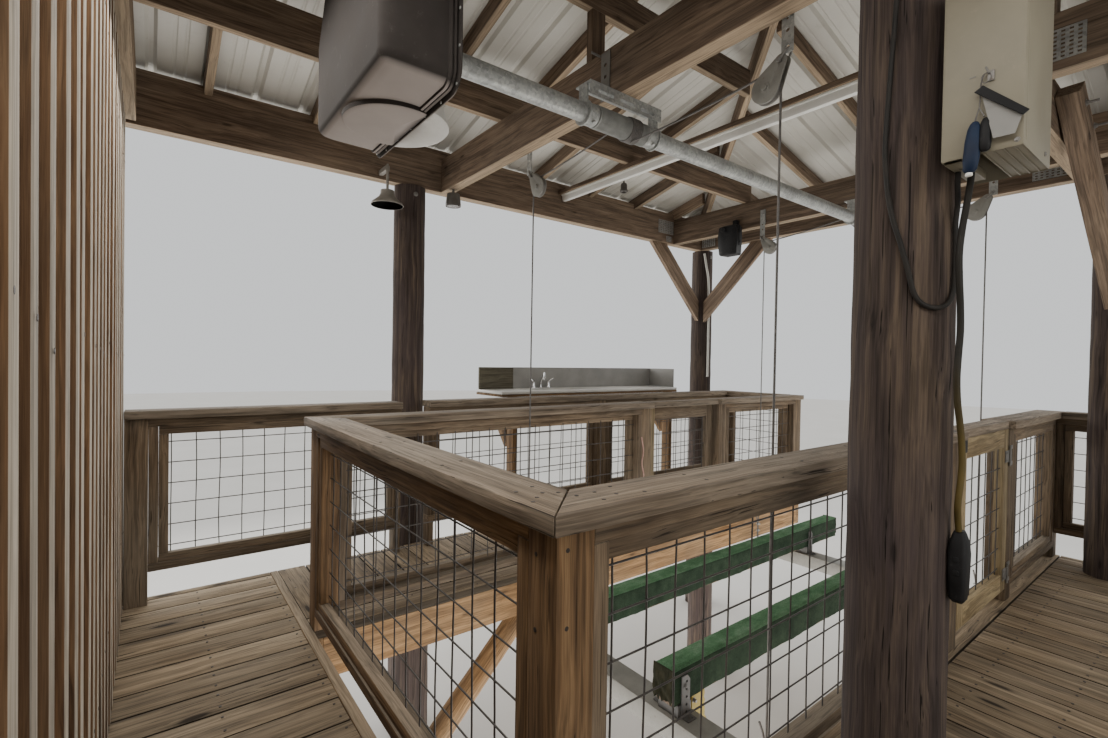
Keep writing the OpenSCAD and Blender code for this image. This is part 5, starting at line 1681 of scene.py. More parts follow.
for x, y, strap_side, out in PULLEYS:
    at = P(x, y, SHEAVE_Z)
    up_way = Vector((0, out * math.sin(LEAN), math.cos(LEAN)))
    side_way = Vector((0, math.cos(LEAN), -out * math.sin(LEAN)))
    wheels.append(lathe("sheave", sheave, at, (1, 0, 0), 32))
    for e in CHEEK_X:
        cheek = outline_plate("cheek", pear, PLATE, [pin_hole])
        cheeks.append(lay(cheek, at + Vector((e, 0, 0)), side_way, up_way))
    cheeks += bolt(at + Vector((0.0129, 0, 0)), (1, 0, 0), 0.011, 0.01)
    cheeks += bolt(at + Vector((-0.0131, 0, 0)), (-1, 0, 0), 0.011, 0.01)
    nose = at + NOSE * up_way
    bow = [nose + Vector((e, 0, 0)) + r * up_way for e, r in
           ((-0.0165, 0.0), (-0.0175, 0.014), (-0.015, 0.032), (-0.006, 0.042), (0.006, 0.042),
            (0.015, 0.032), (0.0175, 0.014), (0.0165, 0.0))]
    bows.append(cord_curve("bow", smooth_route(bow, 5), 0.008))
    for a, b, r in ((-0.024, 0.021, 0.0048), (-0.03, -0.02, 0.0085)):
        pins.append(bar(nose + Vector((a, 0, 0)), nose + Vector((b, 0, 0)), r))
    hold = (NOSE + 0.036) * up_way
    e = CHEEK_X[strap_side > 0]
    plate = outline_plate("strap", box_outline(-0.02, 0.02, hold.z - 0.013, 0.31), PLATE,
                          [slot_hole(0.0, hold.z + 0.004, 0.0162, 0.008)]
                          + [slot_hole(0.0, q, 0.014, 0.0068, 6) for q in (0.155, 0.195, 0.235)])
    straps.append(lay(plate, at + Vector((e, hold.y, 0)), (0, 1, 0)))
    wide = (0.013, 0.02) if strap_side > 0 else (-0.02, -0.013)
    yy = y + hold.y
    straps.append(slab(P(x + wide[0], yy - 0.022, HEAD_Z + 0.01),
                       P(x + wide[1], yy + 0.022, HEAD_Z + 0.12)))
    for q in (0.03, 0.085):
        straps += bolt(P(x + e + (0.0 if strap_side > 0 else PLATE), yy, HEAD_Z + q),
                       (-strap_side, 0, 0), 0.008, 0.007)
piece("shackles", solid(*bows) + pins, dull_steel, slot="steel")
dress(smooth(ease(join(cheeks, "pulley_cheeks"), 0.0008, 2)), plate_grey, nodes=["pulleys"], slot="steel")
piece("sheaves", wheels, dull_steel, slot="steel")
piece("pulley_straps", straps, galvanised, slot="galvanised")

# %% Cables
FALL_R = SHEAVE_R + CAB_R


def slack(a, b):
    """A cable from a to b that sags a little."""
    return cord_curve("run", [a.lerp(b, k / 8) - Vector((0, 0, 0.0005 * k * (8 - k)))
                              for k in range(9)], 2 * CAB_R)


runs, falls = [], []
chan_z = -0.2
for x in SH_X:
    for y, side in zip(SH_Y, (1, -1)):
        runs.append(slack(P(x, Y_MID + side * 0.008, SHAFT_Z + side * 0.052), P(x, y, SHEAVE_Z + FALL_R)))
for x, y, _, out in PULLEYS:
    over = [P(x, y + out * FALL_R * math.sin(t), SHEAVE_Z + FALL_R * math.cos(t))
            for t in np.linspace(0, math.pi / 2, 8)]
    runs.append(cord_curve("bend", over, 2 * CAB_R))
    fall = [P(x, y + out * FALL_R, SHEAVE_Z + (chan_z - SHEAVE_Z) * k / 24) for k in range(25)]
    falls.append(cord_curve("fall", fall, 2 * CAB_R))
solid(*runs)
solid(*falls)
piece("cable_runs", runs, cable_steel, nodes=["cables"], slot="steel")
fall_piece = piece("cable_falls", falls, cable_steel, None, ["fall_cables"], "steel")
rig.blend(fall_piece, "boathouse", "cradle", start=P(SH_X[0], Y_MID, SHEAVE_Z),
         end=P(SH_X[0], Y_MID, chan_z))
print("cables:", len(runs) + len(falls))

# %% [markdown]
# ## Cradle
# Two steel channels hang on the falls, and two long bunks lie on them. The bunks are timber wrapped
# in green carpet whose lower edge is cut by hand, so it wanders. The pile is a fine displacement.

# %% Channels, brackets, cable ends
CH_X = (SH_X[0] + 0.044, SH_X[1] + 0.02)
BUNK_Y = (Y_MID - 0.265, Y_MID + 0.355)
steel_parts = []
for x in CH_X:
    section = [(-0.06, -0.09), (-0.052, -0.09), (-0.052, -0.0085), (0.052, -0.0085), (0.052, -0.09),
               (0.06, -0.09), (0.06, -0.0002), (-0.06, -0.0002)]
    y0, y1 = Y_NEAR_E + 0.085, Y_FAR_E - 0.055
    chan = outline_plate("channel", section, y1 - y0)
    steel_parts.append(lay(chan, P(x, y1, chan_z)))
channels = ease(join(steel_parts, "cradle_channels"), 0.002, 2)
dress(smooth(channels), plate_grey, "cradle", ["cradle_frame"], "steel")
ends = []
CHAN_TOP = chan_z + 0.0002
foot_line = [(-0.024, -0.199), (0.024, -0.199), (0.024, -0.058), (0.008, -0.038), (-0.024, -0.038)]
for x in CH_X:
    for y in BUNK_Y:
        ends.append(slab(P(x - 0.04, y - 0.0508, CHAN_TOP), P(x + 0.04, y + 0.0508, -0.1502), 0.002))
        for e, s in ((-0.056, -1), (0.051, 1)):
            angle = outline_plate("angle", foot_line, 0.0048,
                                  [slot_hole(0.004, -0.063 - 0.03 * k, 0.0112, 0.0055, 7)
                                   for k in range(5)])
            ends.append(lay(angle, P(x, y + e + 0.0048, 0.0)))
            leg = sorted((y + s * 0.0512, y + s * 0.09))
            ends.append(slab(P(x - 0.024, leg[0], CHAN_TOP), P(x + 0.024, leg[1], -0.195), 0.0008))
            ends += bolt(P(x - 0.006, y + s * 0.056, -0.078), (0, s, 0), 0.007, 0.007)
            ends += bolt(P(x + 0.006, y + s * 0.078, -0.1948), (0, 0, 1), 0.007, 0.007)
piece("bunk_brackets", ends, dull_zinc, "cradle", slot="galvanised")
clamps, tails = [], []
tail_line = ((-0.0085, 0.001, 0.022), (-0.0085, 0.0, 0.07), (-0.0088, 0.0, 0.12), (-0.016, 0.004, 0.165),
             (-0.03, 0.008, 0.205))
for x, y, _, out in PULLEYS:
    yy = y + out * FALL_R
    for z in (chan_z + 0.06, chan_z + 0.11):
        clamps.append(slab(P(x - 0.011, yy - 0.008, z), P(x + 0.011, yy + 0.008, z + 0.016), 0.003))
        for q in (x - 0.008, x + 0.008):
            clamps.append(bar(P(q, yy - 0.014, z + 0.008), P(q, yy + 0.014, z + 0.008), 0.003, 8))
    clamps.append(bar(P(x, yy, chan_z - 0.001), P(x, yy, chan_z + 0.02), 0.009, 12))
    tail = [P(x + dx, yy + dy, chan_z + dz) for dx, dy, dz in tail_line]
    tails.append(cord_curve("tail", smooth_route(tail, 6), 2 * CAB_R))
piece("cable_clamps", clamps, galvanised, "cradle", slot="galvanised")
piece("cable_tails", solid(*tails), cable_steel, "cradle", slot="steel")


# %% Bunks
carpet, tree, shader, place = fresh("carpet", 0.95)
shader.inputs["Specular IOR Level"].default_value = 0.1
tuft = noise(tree, place, 260.0, (1, 1, 1), 3.0, 0.7)
trodden = noise(tree, place, 9.0, (1, 2, 1), 6.0, 0.7)
upward = add(tree, "ShaderNodeSeparateXYZ",
             {0: add(tree, "ShaderNodeNewGeometry").outputs["True Normal"]}).outputs[2]
top_green = ramp(tree, trodden, [(0.3, (0.045, 0.105, 0.052)), (0.5, (0.078, 0.165, 0.085)),
                                 (0.72, (0.15, 0.235, 0.15))])
side_green = ramp(tree, trodden, [(0.32, (0.011, 0.021, 0.012)), (0.68, (0.034, 0.056, 0.033))])
green = mix(tree, ramp(tree, upward, [(0.25, grey(0.0)), (0.8, grey(1.0))]), side_green, top_green)
green = mix(tree, 1.0, green, ramp(tree, tuft, [(0.3, grey(0.62)), (0.7, grey(1.3))]), "MULTIPLY")
tree.links.new(green, shader.inputs["Base Color"])
tree.links.new(bump(tree, tuft, 0.8, 0.004), shader.inputs["Normal"])

B0, B1 = CH_X[0] - 0.07, CH_X[1] + 0.4
cores, rugs, flaps = [], [], []
for y in BUNK_Y:
    cores.append(block((B0 + 0.006, y - 0.0405, -0.149), (B1 - 0.006, y + 0.0405, -0.011), "x", tone=0.15))
    rug = grid(260, 20)
    co = points(rug)
    u = co[:, 0] + 0.5
    path_len = 2 * 0.14 + 0.095
    ragged = 0.012 * np.sin(u * 37 + y) + 0.006 * np.sin(u * 91 + 2 * y) + 0.004 * np.sin(u * 233)
    w = co[:, 1] * (path_len + 0.5 * ragged)
    side_x = 0.0475
    over = np.clip(np.abs(w) - side_x, 0, None)
    yy = np.sign(w) * np.minimum(np.abs(w), side_x)
    zz = -0.0026 - over
    corner_pull = np.clip(1 - np.abs(np.abs(w) - side_x) / 0.01, 0, 1) * 0.003
    zz = zz - corner_pull
    yy = yy - np.sign(w) * corner_pull * 0.6
    put_points(rug, np.stack([B0 + u * (B1 - B0), y + yy, np.maximum(zz, -0.1495)], 1) + np.array(CORNER))
    edit(rug, outward)
    pile_tex = bpy.data.textures.new("pile", "CLOUDS")
    pile_tex.noise_scale = 0.006
    modify(rug, "DISPLACE", texture=pile_tex, strength=0.0018, mid_level=0.5)
    modify(rug, "SOLIDIFY", thickness=0.0022, offset=-1)
    rugs.append(smooth(rug, 60))
    for x_end, s_end in ((B0, -1), (B1, 1)):
        flap = grid(16, 22)
        co = points(flap)
        a, fallen = co[:, 0], 0.5 - co[:, 1]
        reach = 0.128 + 0.008 * np.sin(a * 31 + y) + 0.006 * np.sin(a * 77)
        swell = 0.0035 * np.sin(9 * a + 14 * fallen) * fallen + 0.004 * np.sqrt(np.clip(fallen, 0, 1))
        put_points(flap, np.stack([x_end + s_end * swell, y + 0.099 * a, -0.0045 - reach * fallen], 1)
                   + np.array(CORNER))
        edit(flap, outward)
        modify(flap, "DISPLACE", texture=pile_tex, strength=0.003, mid_level=0.5)
        modify(flap, "SOLIDIFY", thickness=0.003, offset=0)
        flaps.append(smooth(flap, 60))
piece("bunk_timbers", cores, beam_wood, "cradle", ["bunks"], "carpet")
piece("bunk_carpet", rugs, carpet, "cradle", slot="carpet")
end_carpet = coat("end_carpet", (0.01, 0.011, 0.006), (0.034, 0.031, 0.018), 0.95, 0.0, 40, 0.6,
                  (0.035, 0.06, 0.03), relief=0.9, depth=0.004, stretch=(1, 1, 0.35), spec=0.1)
piece("carpet_ends", flaps, end_carpet, "cradle", slot="carpet")
YELLOW_LOW, YELLOW_TOP = -0.288, -0.152
ragged_edge = [(0.083 + chance.uniform(-0.005, 0.004) + 0.012 * (1 - k / 9) ** 3,
                YELLOW_LOW + 0.136 * k / 9) for k in range(10)]
yellow = outline_plate("yellow_board", [(0.0, YELLOW_LOW)] + ragged_edge + [(0.0, YELLOW_TOP)], 0.018)
lay(yellow, P(CH_X[0] + 0.0605, BUNK_Y[0] - 0.02, 0.0))
dress(smooth(ease(yellow, 0.001)), yellow_paint, "cradle", slot="steel")
yellow_bolt = bolt(P(CH_X[0] + 0.073, BUNK_Y[0] - 0.038, -0.172), (0, -1, 0), 0.007, 0.012)
piece("yellow_board_bolt", yellow_bolt, dull_steel, "cradle", slot="steel")
print("bunks:", len(rugs))

# %% [markdown]
# ## Fittings
# The control box is a thin case, open below: a solid block with a second one cut out of it. A ribbed
# tray closes the right part of the mouth, a bent lip with two holes the left. On its left side a hook
# holds a bead chain with two key floats, a folded tag and a strap.

# %% Control box
BX0, BX1, BY0, BY1, BZ0, BZ1 = PX1 - 0.118, PX1 + 0.082, PY_MID - 0.226, PY_MID - PILE_R, 1.57, 1.92
case = slab(P(BX0 + 0.0003, BY0 + 0.0003, BZ0 + 0.0003), P(BX1 - 0.0003, BY1 - 0.0003, BZ1 - 0.0003), 0.006)
hollow = slab(P(BX0 + 0.0022, BY0 + 0.0022, BZ0 - 0.02), P(BX1 - 0.0022, BY1 - 0.0022, BZ1 - 0.003), 0.004)
carve(case, hollow)
folds = [slab(P(BX0 + 0.012, BY0 - 0.0002, BZ0 + 0.01), P(BX0 + 0.016, BY0 + 0.001, BZ1 - 0.02), 0.0004)]
for k in range(4):
    y = BY0 + 0.004 + 0.0145 * k
    folds.append(slab(P(BX0 + 0.004, y, BZ0 + 0.004), P(BX1 - 0.004, y + 0.014, BZ0 + 0.0062), 0.0008))
    folds.append(slab(P(BX0 + 0.004, y + 0.0105, BZ0 + 0.0015), P(BX1 - 0.004, y + 0.013, BZ0 + 0.0045),
                      0.0008))
lip = outline_plate("lip", box_outline(0.0, 0.15, 0.0, 0.028), 0.002,
                    [slot_hole(q, 0.014, 0.009, 0.0042) for q in (0.045, 0.1)])
folds.append(lay(lip, P(BX0 + 0.02, BY1 - 0.0305, BZ0 + 0.001), (1, 0, 0), (0, 1, 0)))
folds.append(slab(P(BX0 + 0.02, BY1 - 0.031, BZ0 + 0.0005), P(BX0 + 0.17, BY1 - 0.029, BZ0 + 0.018),
                  0.0006))
piece("control_case", [case] + folds, box_plastic, nodes=["control_box"], slot="box_plastic")
catches = []
for y, z in ((BY0 + 0.01, BZ0 + 0.012), (BY0 + 0.1, BZ1 - 0.03)):
    catches += bolt(P(BX0 + 0.0005, y, z), (-1, 0, 0), 0.003, 0.003)
catches += bolt(P(BX0 + 0.15, BY0 + 0.0005, BZ0 + 0.02), (0, -1, 0), 0.003, 0.003)
piece("case_screws", catches, dull_steel, slot="box_plastic")
print("case faces:", len(bpy.data.objects["control_case"].data.polygons))

# %% Key floats
XK = BX0 - 0.007


def key_point(y, z, out=0.0):
    return P(XK - out, y, z)


hook = [slab(P(BX0 - 0.004, 0.293, 1.7), P(BX0 + 0.0002, 0.303, 1.719), 0.001),
        bar(P(BX0, 0.3, 1.714), P(BX0 - 0.01, 0.3, 1.714), 0.0018, 8),
        bar(P(BX0 - 0.009, 0.3, 1.714), P(BX0 - 0.012, 0.304, 1.724), 0.0018, 8),
        slab(P(BX0 - 0.0008, 0.321, 1.7165), P(BX0 + 0.0004, 0.331, 1.7185), 0.0003)]
piece("key_hook", hook, dull_steel, slot="steel")
ring = [key_point(0.304 + 0.007 * math.cos(t), 1.706 + 0.009 * math.sin(t))
        for t in np.linspace(0, 2 * math.pi, 24)]
links = solid(cord_curve("ring", ring, 0.0016))
chain_line = smooth_route([key_point(y, z) for y, z in ((0.3075, 1.713), (0.311, 1.7), (0.3115, 1.685),
                                                        (0.312, 1.67), (0.313, 1.655))], 6)
for a, b in zip(chain_line, chain_line[1:]):
    links.append(bar(a.lerp(b, 0.12), a.lerp(b, 0.88), 0.0014, 6))
for a, b in zip(chain_line[-1:] * 2, (key_point(0.319, 1.632), key_point(0.305, 1.636))):
    links.append(bar(a, b, 0.0012, 6))
piece("key_chain", links, cable_steel, slot="steel")


def float_form(name, y, z0, z1, wide, thick, lean):
    """A flattened, tapering float that hangs from z1 down to z0."""
    rings = []
    for t, w in ((0.0, 0.3), (0.02, 0.62), (0.07, 0.86), (0.25, 1.0), (0.6, 0.98), (0.85, 0.8),
                 (0.95, 0.55), (0.99, 0.3)):
        z = z0 + (z1 - z0) * t
        rings.append([key_point(y + lean * (1 - t) + wide / 2 * w * math.cos(a), z,
                                thick / 2 * w * math.sin(a))
                      for a in np.linspace(0, 2 * math.pi, 20, endpoint=False)])
    return skin(name, rings, 50)


dress(float_form("blue_float", 0.319, 1.538, 1.632, 0.026, 0.016, 0.006), blue_plastic,
      slot="black_plastic")
dress(float_form("black_float", 0.303, 1.572, 1.634, 0.019, 0.014, 0.0), black_plastic,
      slot="black_plastic")
foot = float_form("float_foot", 0.326, 1.532, 1.541, 0.012, 0.009, 0.0)
dress(foot, white_paint, slot="white_paint")
strap = strip([key_point(0.32, 1.684, 0.004), key_point(0.249, 1.618, 0.006),
               key_point(0.242, 1.626, 0.001), key_point(0.308, 1.693, 0.001)], 0.0022, "key_strap")
dress(strap, black_plastic, slot="black_plastic")
tag = strip([key_point(0.31, 1.676, -0.002), key_point(0.252, 1.622, -0.002),
             key_point(0.26, 1.59, 0.004), key_point(0.29, 1.59, 0.006)], 0.001, "key_tag")
dress(tag, splash_grey, slot="box_plastic")
print("keys hung")

# %% Small box, handset and conduit
q = power_route[0] - CORNER
jbox = slab(P(q.x - 0.0418, q.y - 0.0348, q.z + 0.0145), P(q.x + 0.0238, q.y + 0.0348, q.z + 0.1238), 0.004)
jlid = slab(P(q.x - 0.042, q.y - 0.03, q.z + 0.019), P(q.x - 0.04, q.y + 0.03, q.z + 0.119), 0.001)
gland = lathe("gland", [(0.0088, -0.0002), (0.0088, 0.006), (0.007, 0.007), (0.007, 0.016)],
              P(q.x, q.y, q.z), (0, 0, 1), 12)
piece("junction_case", [jbox, jlid, gland], galvanised, nodes=["junction_box"], slot="galvanised")
HX, HY = PX1, PY_MID - PILE_R - 0.017
body = []
for z, w, d in ((0.6905, 0.01, 0.009), (0.697, 0.017, 0.013), (0.73, 0.02, 0.0155), (0.79, 0.0215, 0.0165),
                (0.815, 0.018, 0.015), (0.832, 0.011, 0.011), (0.8395, 0.008, 0.008)):
    line = round_outline([(-w, -d), (w, -d), (w, d), (-w, d)], [0.45 * min(w, d)] * 4, 3)
    body.append([P(HX + a, HY + b, z) for a, b in line])
handset_form = skin("handset_body", body, 40)
knobs = [lathe("knob", [(0.0065, 0), (0.006, 0.003), (0.003, 0.0036)], P(HX - 0.0195, HY, z),
               (-1, 0, 0), 12) for z in (0.755, 0.782)]
piece("handset_form", [handset_form] + knobs, black_plastic, nodes=["handset"], slot="black_plastic")
pipe = smooth_route([P(PX2 + dx, Y_FAR + dy, z) for dx, dy, z in ((-0.07, 0.025, HEAD_Z - 0.03),
                                                                  (-0.065, 0.005, HEAD_Z - 0.15),
                                                                  (-0.045, -0.012, HEAD_Z - 0.35),
                                                                  (-0.04, -0.014, HEAD_Z - 0.9),
                                                                  (-0.04, -0.014, 1.05))], 10)
dress(solid(cord_curve("conduit", pipe, 0.021))[0], lamp_metal, slot="lamp_metal")
print("small box, handset and conduit done")

# %% [markdown]
# The loudspeaker has a bowed front, the barn light a thin bell shade on a stem, and the flood lamp is
# a tapered can. The tube light is a folded white channel with a brown edge board above it.

# %% Speaker and lamps
SX0, SX1, SY0, SY1 = LB2 - 0.1498, LB2 - 0.0402, Y_FAR_E + 0.0952, Y_FAR_E + 0.2748
SY_MID, SY_HALF = (SY0 + SY1) / 2, (SY1 - SY0) / 2
speaker_rings = []
for z, f in ((HEAD_Z - 0.2148, 0.8), (HEAD_Z - 0.205, 0.9), (HEAD_Z - 0.12, 0.98), (HEAD_Z - 0.06, 1.0),
             (HEAD_Z + 0.01, 0.94), (HEAD_Z + 0.0195, 0.85)):
    line = []
    for t in np.linspace(-1, 1, 9):
        line.append((SX0 + (1 - f) * 0.09 + 0.012 * t ** 4, SY_MID + t * f * SY_HALF))
    line += [(SX1, SY_MID + 0.8 * f * SY_HALF), (SX1, SY_MID - 0.8 * f * SY_HALF)]
    speaker_rings.append([P(x, y, z) for x, y in line])
speaker_form = skin("speaker_body", speaker_rings, 30)
grille = [bar(P(SX0 + 0.01 + 0.012 * t ** 4, SY_MID + t * 0.08, HEAD_Z - 0.195),
              P(SX0 + 0.002 + 0.012 * t ** 4, SY_MID + t * 0.085, HEAD_Z - 0.03), 0.0028, 6)
          for t in np.linspace(-0.8, 0.8, 9)]
arm = slab(P(LB2 - 0.0398, Y_FAR_E + 0.1652, HEAD_Z - 0.0598),
           P(LB2 - 0.0002, Y_FAR_E + 0.2048, HEAD_Z + 0.0798), 0.002)
knob = lathe("knob", [(0.024, 0.0), (0.024, 0.004), (0.018, 0.009), (0.006, 0.01)],
             P(SX0 + 0.004, SY_MID + 0.03, HEAD_Z - 0.012), (-1, 0, 0), 24)
yoke = [slab(P(SX0 + 0.03, y, HEAD_Z - 0.15), P(SX0 + 0.052, y + 0.004, HEAD_Z + 0.015), 0.001)
        for y in (SY0 - 0.0045, SY1 + 0.0005)]
for z in (HEAD_Z - 0.12, HEAD_Z - 0.04):
    yoke += bolt(P(SX0 + 0.041, SY0 - 0.0044, z), (0, -1, 0), 0.008, 0.008)
piece("speaker_case", [speaker_form, arm, knob] + yoke + grille, black_plastic, nodes=["speaker"],
      slot="black_plastic")

HDR_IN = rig.box("side_headers")[1].y - CORNER.y - DOUBLE
barn = P(PX1 - 0.21, HDR_IN - 0.12, HEAD_Z - 0.19)
shade = lathe("shade", [(0.0945, 0.0002), (0.0948, 0.003), (0.088, 0.016), (0.064, 0.036),
                        (0.048, 0.052), (0.04, 0.07), (0.039, 0.0895), (0.0365, 0.0895), (0.0375, 0.07),
                        (0.045, 0.053), (0.06, 0.038), (0.084, 0.018), (0.0915, 0.003),
                        (0.0915, 0.0002)], barn, (0, 0, 1), 40)
stem = lathe("stem", [(0.0135, 0.09), (0.0138, 0.094), (0.008, 0.1), (0.008, 0.235), (0.006, 0.2485)],
             barn, (0, 0, 1), 20)
bulb = lathe("bulb", [(0.006, 0.012), (0.022, 0.018), (0.028, 0.034), (0.024, 0.054), (0.014, 0.072),
                      (0.013, 0.088)], barn, (0, 0, 1), 24)
arm = slab(barn + Vector((-0.0138, 0.0, 0.2102)), barn + Vector((0.0138, 0.1198, 0.2378)), 0.002)
can_at = P(LB1 + 0.035, HDR_IN - 0.11, HEAD_Z - 0.11)
can = lathe("can", [(0.04, 0.004), (0.048, 0.003), (0.0495, 0.0002), (0.05, 0.006), (0.048, 0.03),
                    (0.044, 0.06), (0.04, 0.0795), (0.008, 0.08), (0.0075, 0.1095)], can_at, (0, 0, 1), 32)
piece("barn_light", [shade, stem, arm], shade_grey, nodes=["lamps"], slot="lamp_metal")
dress(bulb, glass_pale, slot="lamp_metal")
dress(can, can_grey, slot="lamp_metal")
lens = lathe("lens", [(0.039, 0.0), (0.038, 0.0036), (0.01, 0.0042)], can_at, (0, 0, 1), 32)
dress(lens, lens_brown, slot="lamp_metal")

TX = LB1 + 1.02
section = [(-0.026, -0.0302), (0.026, -0.0302), (0.029, -0.033), (0.027, -0.042), (0.02, -0.0425),
           (0.0192, -0.06), (0.015, -0.08), (0.0, -0.0818), (-0.015, -0.08), (-0.0192, -0.06),
           (-0.02, -0.0425), (-0.027, -0.042), (-0.029, -0.033)]
tube_lo, tube_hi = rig.box("light_batten")
batten_light = outline_plate("tube_light", section, tube_hi.y - tube_lo.y - 0.0408)
lay(batten_light, Vector((TX + CORNER.x, tube_hi.y - 0.0204, tube_hi.z)))
dress(smooth(ease(batten_light, 0.0012, 2, 25)), white_paint, nodes=["light_batten"], slot="white_paint")
y0, y1, z1 = tube_lo.y - CORNER.y, tube_hi.y - CORNER.y, tube_hi.z - CORNER.z
light_board = block((TX - 0.0398, y0 + 0.0004, z1 - 0.03), (TX + 0.0398, y1 - 0.0004, z1 - 0.0002), "y",
                    tone=0.3)
dress(light_board, beam_wood, slot="beam_wood")
print("speaker and lamps done")

# %% [markdown]
# Outside the far railing a sink counter hangs on two brackets. It has a pale moulded top with a basin
# pressed into it, a grey splash back with a side return, a mossy splash board at its left, and a tap.

# %% Sink
KX0, KX1, KY0, KY1 = PX1 + 0.66, PX2 - 0.47, Y_FAR, Y_FAR + 0.375
SPLASH0, SPLASH1 = CAP_TOP + 0.0402, CAP_TOP + 0.2098
top_slab = slab(P(KX0 + 0.0005, KY0 + 0.0005, CAP_TOP + 0.018),
                P(KX1 - 0.0005, KY1 - 0.0005, CAP_TOP + 0.0398), 0.006)
basin = slab(P(KX0 + 0.28, KY0 + 0.06, CAP_TOP + 0.026), P(KX0 + 0.86, KY0 + 0.29, CAP_TOP + 0.06), 0.01)
dress(carve(top_slab, basin), counter_pale, slot="rail_wood")
sink_wood = [block((KX0 + 0.0005, KY0 + 0.0005, CAP_TOP), (KX1 - 0.0005, KY1 - 0.001, CAP_TOP + 0.0178),
                   "x", tone=0.2)]
for x in (PX1 + 0.76, PX2 - 0.57):
    sink_wood.append(block((x + 0.0003, KY0 + 0.0003, -0.184),
                           (x + LUM - 0.0003, KY0 + POST - 0.0003, CAP_TOP), "z", tone=0.4))
    sink_wood.append(board(P(x + LUM / 2, KY0 + POST, CAP_TOP - 0.352),
                           P(x + LUM / 2, KY0 + 0.33, CAP_TOP - 0.06), 0.036, 0.085, up=(0, -1, 0.9),
                           tone=0.4))
piece("sink_frame", sink_wood, rail_wood, nodes=["sink_counter"], slot="rail_wood")
splash = [slab(P(KX0 + 0.31, KY1 - 0.0298, SPLASH0), P(KX1 - 0.0002, KY1 - 0.0242, SPLASH1), 0.001),
          slab(P(KX1 - 0.0058, KY0 + 0.0402, SPLASH0), P(KX1 - 0.0002, KY1 - 0.0302, SPLASH1), 0.001)]
piece("splash_sheets", splash, splash_grey, nodes=["splash_panels"], slot="galvanised")
board_splash = block((KX0 + 0.002, KY1 - 0.044, SPLASH0), (KX0 + 0.308, KY1 - 0.0245, CAP_TOP + 0.209),
                     "x", tone=0.3)
dress(board_splash, moss_wood, slot="rail_wood")
tap_at = P(KX0 + 0.56, KY1 - 0.07, CAP_TOP + 0.0398)
tap = [lathe("base", [(0.085, 0.0), (0.085, 0.004), (0.08, 0.007)], tap_at, (0, 0, 1), 32)]
co = points(tap[0])
put_points(tap[0], np.stack([tap_at.x + (co[:, 0] - tap_at.x) * 1.2,
                             tap_at.y + (co[:, 1] - tap_at.y) * 0.28, co[:, 2]], 1))
for e in (-0.075, 0.075):
    tap.append(lathe("pillar", [(0.018, 0.004), (0.015, 0.02), (0.011, 0.05), (0.012, 0.058),
                                (0.004, 0.062)], tap_at + Vector((e, 0, 0)), (0, 0, 1), 20))
    tap.append(bar(tap_at + Vector((e, 0, 0.055)), tap_at + Vector((e * 1.6, -0.012, 0.085)), 0.005, 10))
spout = smooth_route([tap_at + Vector(q) for q in ((0, 0, 0), (0, 0, 0.05), (0.01, -0.02, 0.1),
                                                   (-0.01, -0.06, 0.125), (-0.04, -0.1, 0.105),
                                                   (-0.06, -0.125, 0.075))], 8)
piece("tap", tap + solid(cord_curve("spout", spout, 0.017)), chrome, slot="galvanised")
print("sink done")

# %% [markdown]
# Small hardware goes on last, as a carpenter's does: nails in the caps and posts, pressed nail plates
# with their punched teeth, bolts through the brace, a drilled strap over the winder, and the dark
# socket of a lamp under a rafter. A nail plate is a grid whose cells are punched out in edit mode.

# %% Nails, nail plates and bolts
nails = []


def nail_at(x, y, z, axis=(0, 0, 1), r=0.0046):
    nails.append(lathe("nail", [(r, -0.0004), (r, 0.0005), (0.6 * r, 0.0009)], P(x, y, z), axis, 8))


for dx, dy in ((-0.045, 0.03), (-0.02, 0.052), (0.01, 0.075), (0.038, 0.06), (-0.03, 0.11), (0.022, 0.128),
               (0.052, 0.02), (0.078, -0.03), (0.1, 0.022), (0.128, -0.012), (0.16, 0.04), (0.19, -0.03)):
    nail_at(X_HR + dx, Y_NR + dy, CAP_TOP)
for s in (Y_NR + 0.45, Y_MID, Y_FR - 0.45, Y_FR - 0.12):
    for e in (-0.035, 0.03):
        nail_at(X_HR + e, s + chance.uniform(-0.02, 0.02), CAP_TOP)
for run, spans in ((near, ((X_HR + 0.4, GATE_N - 0.05), (span_n + 0.05, X_ER))),
                   (far, ((X_HR + 0.1, GATE_F - 0.05), (span_f + 0.05, X_ER))),
                   (out_far, ((x0 + 0.05, PILE_A - 0.05), (PILE_B + 0.05, X_ER - 0.1))),
                   (out_near, ((PX1, X_ER - 0.1),))):
    for s0, s1 in spans:
        n = max(2, round((s1 - s0) / 0.45))
        for k in range(n + 1):
            s = s0 + (s1 - s0) * k / n + chance.uniform(-0.015, 0.015)
            for e in (-0.034, 0.031):
                nail_at(s, run.c + e + chance.uniform(-0.004, 0.004), CAP_TOP)
for z in (0.16, 0.3, 0.7, 0.84):
    nail_at(X_HR - 0.02, Y_NR - H, z, (0, -1, 0))
    nail_at(X_HR - H, Y_NR + 0.018, z - 0.02, (-1, 0, 0))
for i in range(12):
    y = Y_FAR_E + 0.1 if i % 2 else Y_FAR_E + 0.03
    nail_at(X_SLIP + 0.15 + 0.33 * i, y, 0.0)
    nail_at(X_SLIP + 0.2 + 0.33 * i, Y_NEAR_E - (0.1 if i % 2 else 0.03), 0.0)
piece("cap_and_post_nails", nails, nail_dark, slot="rail_wood")


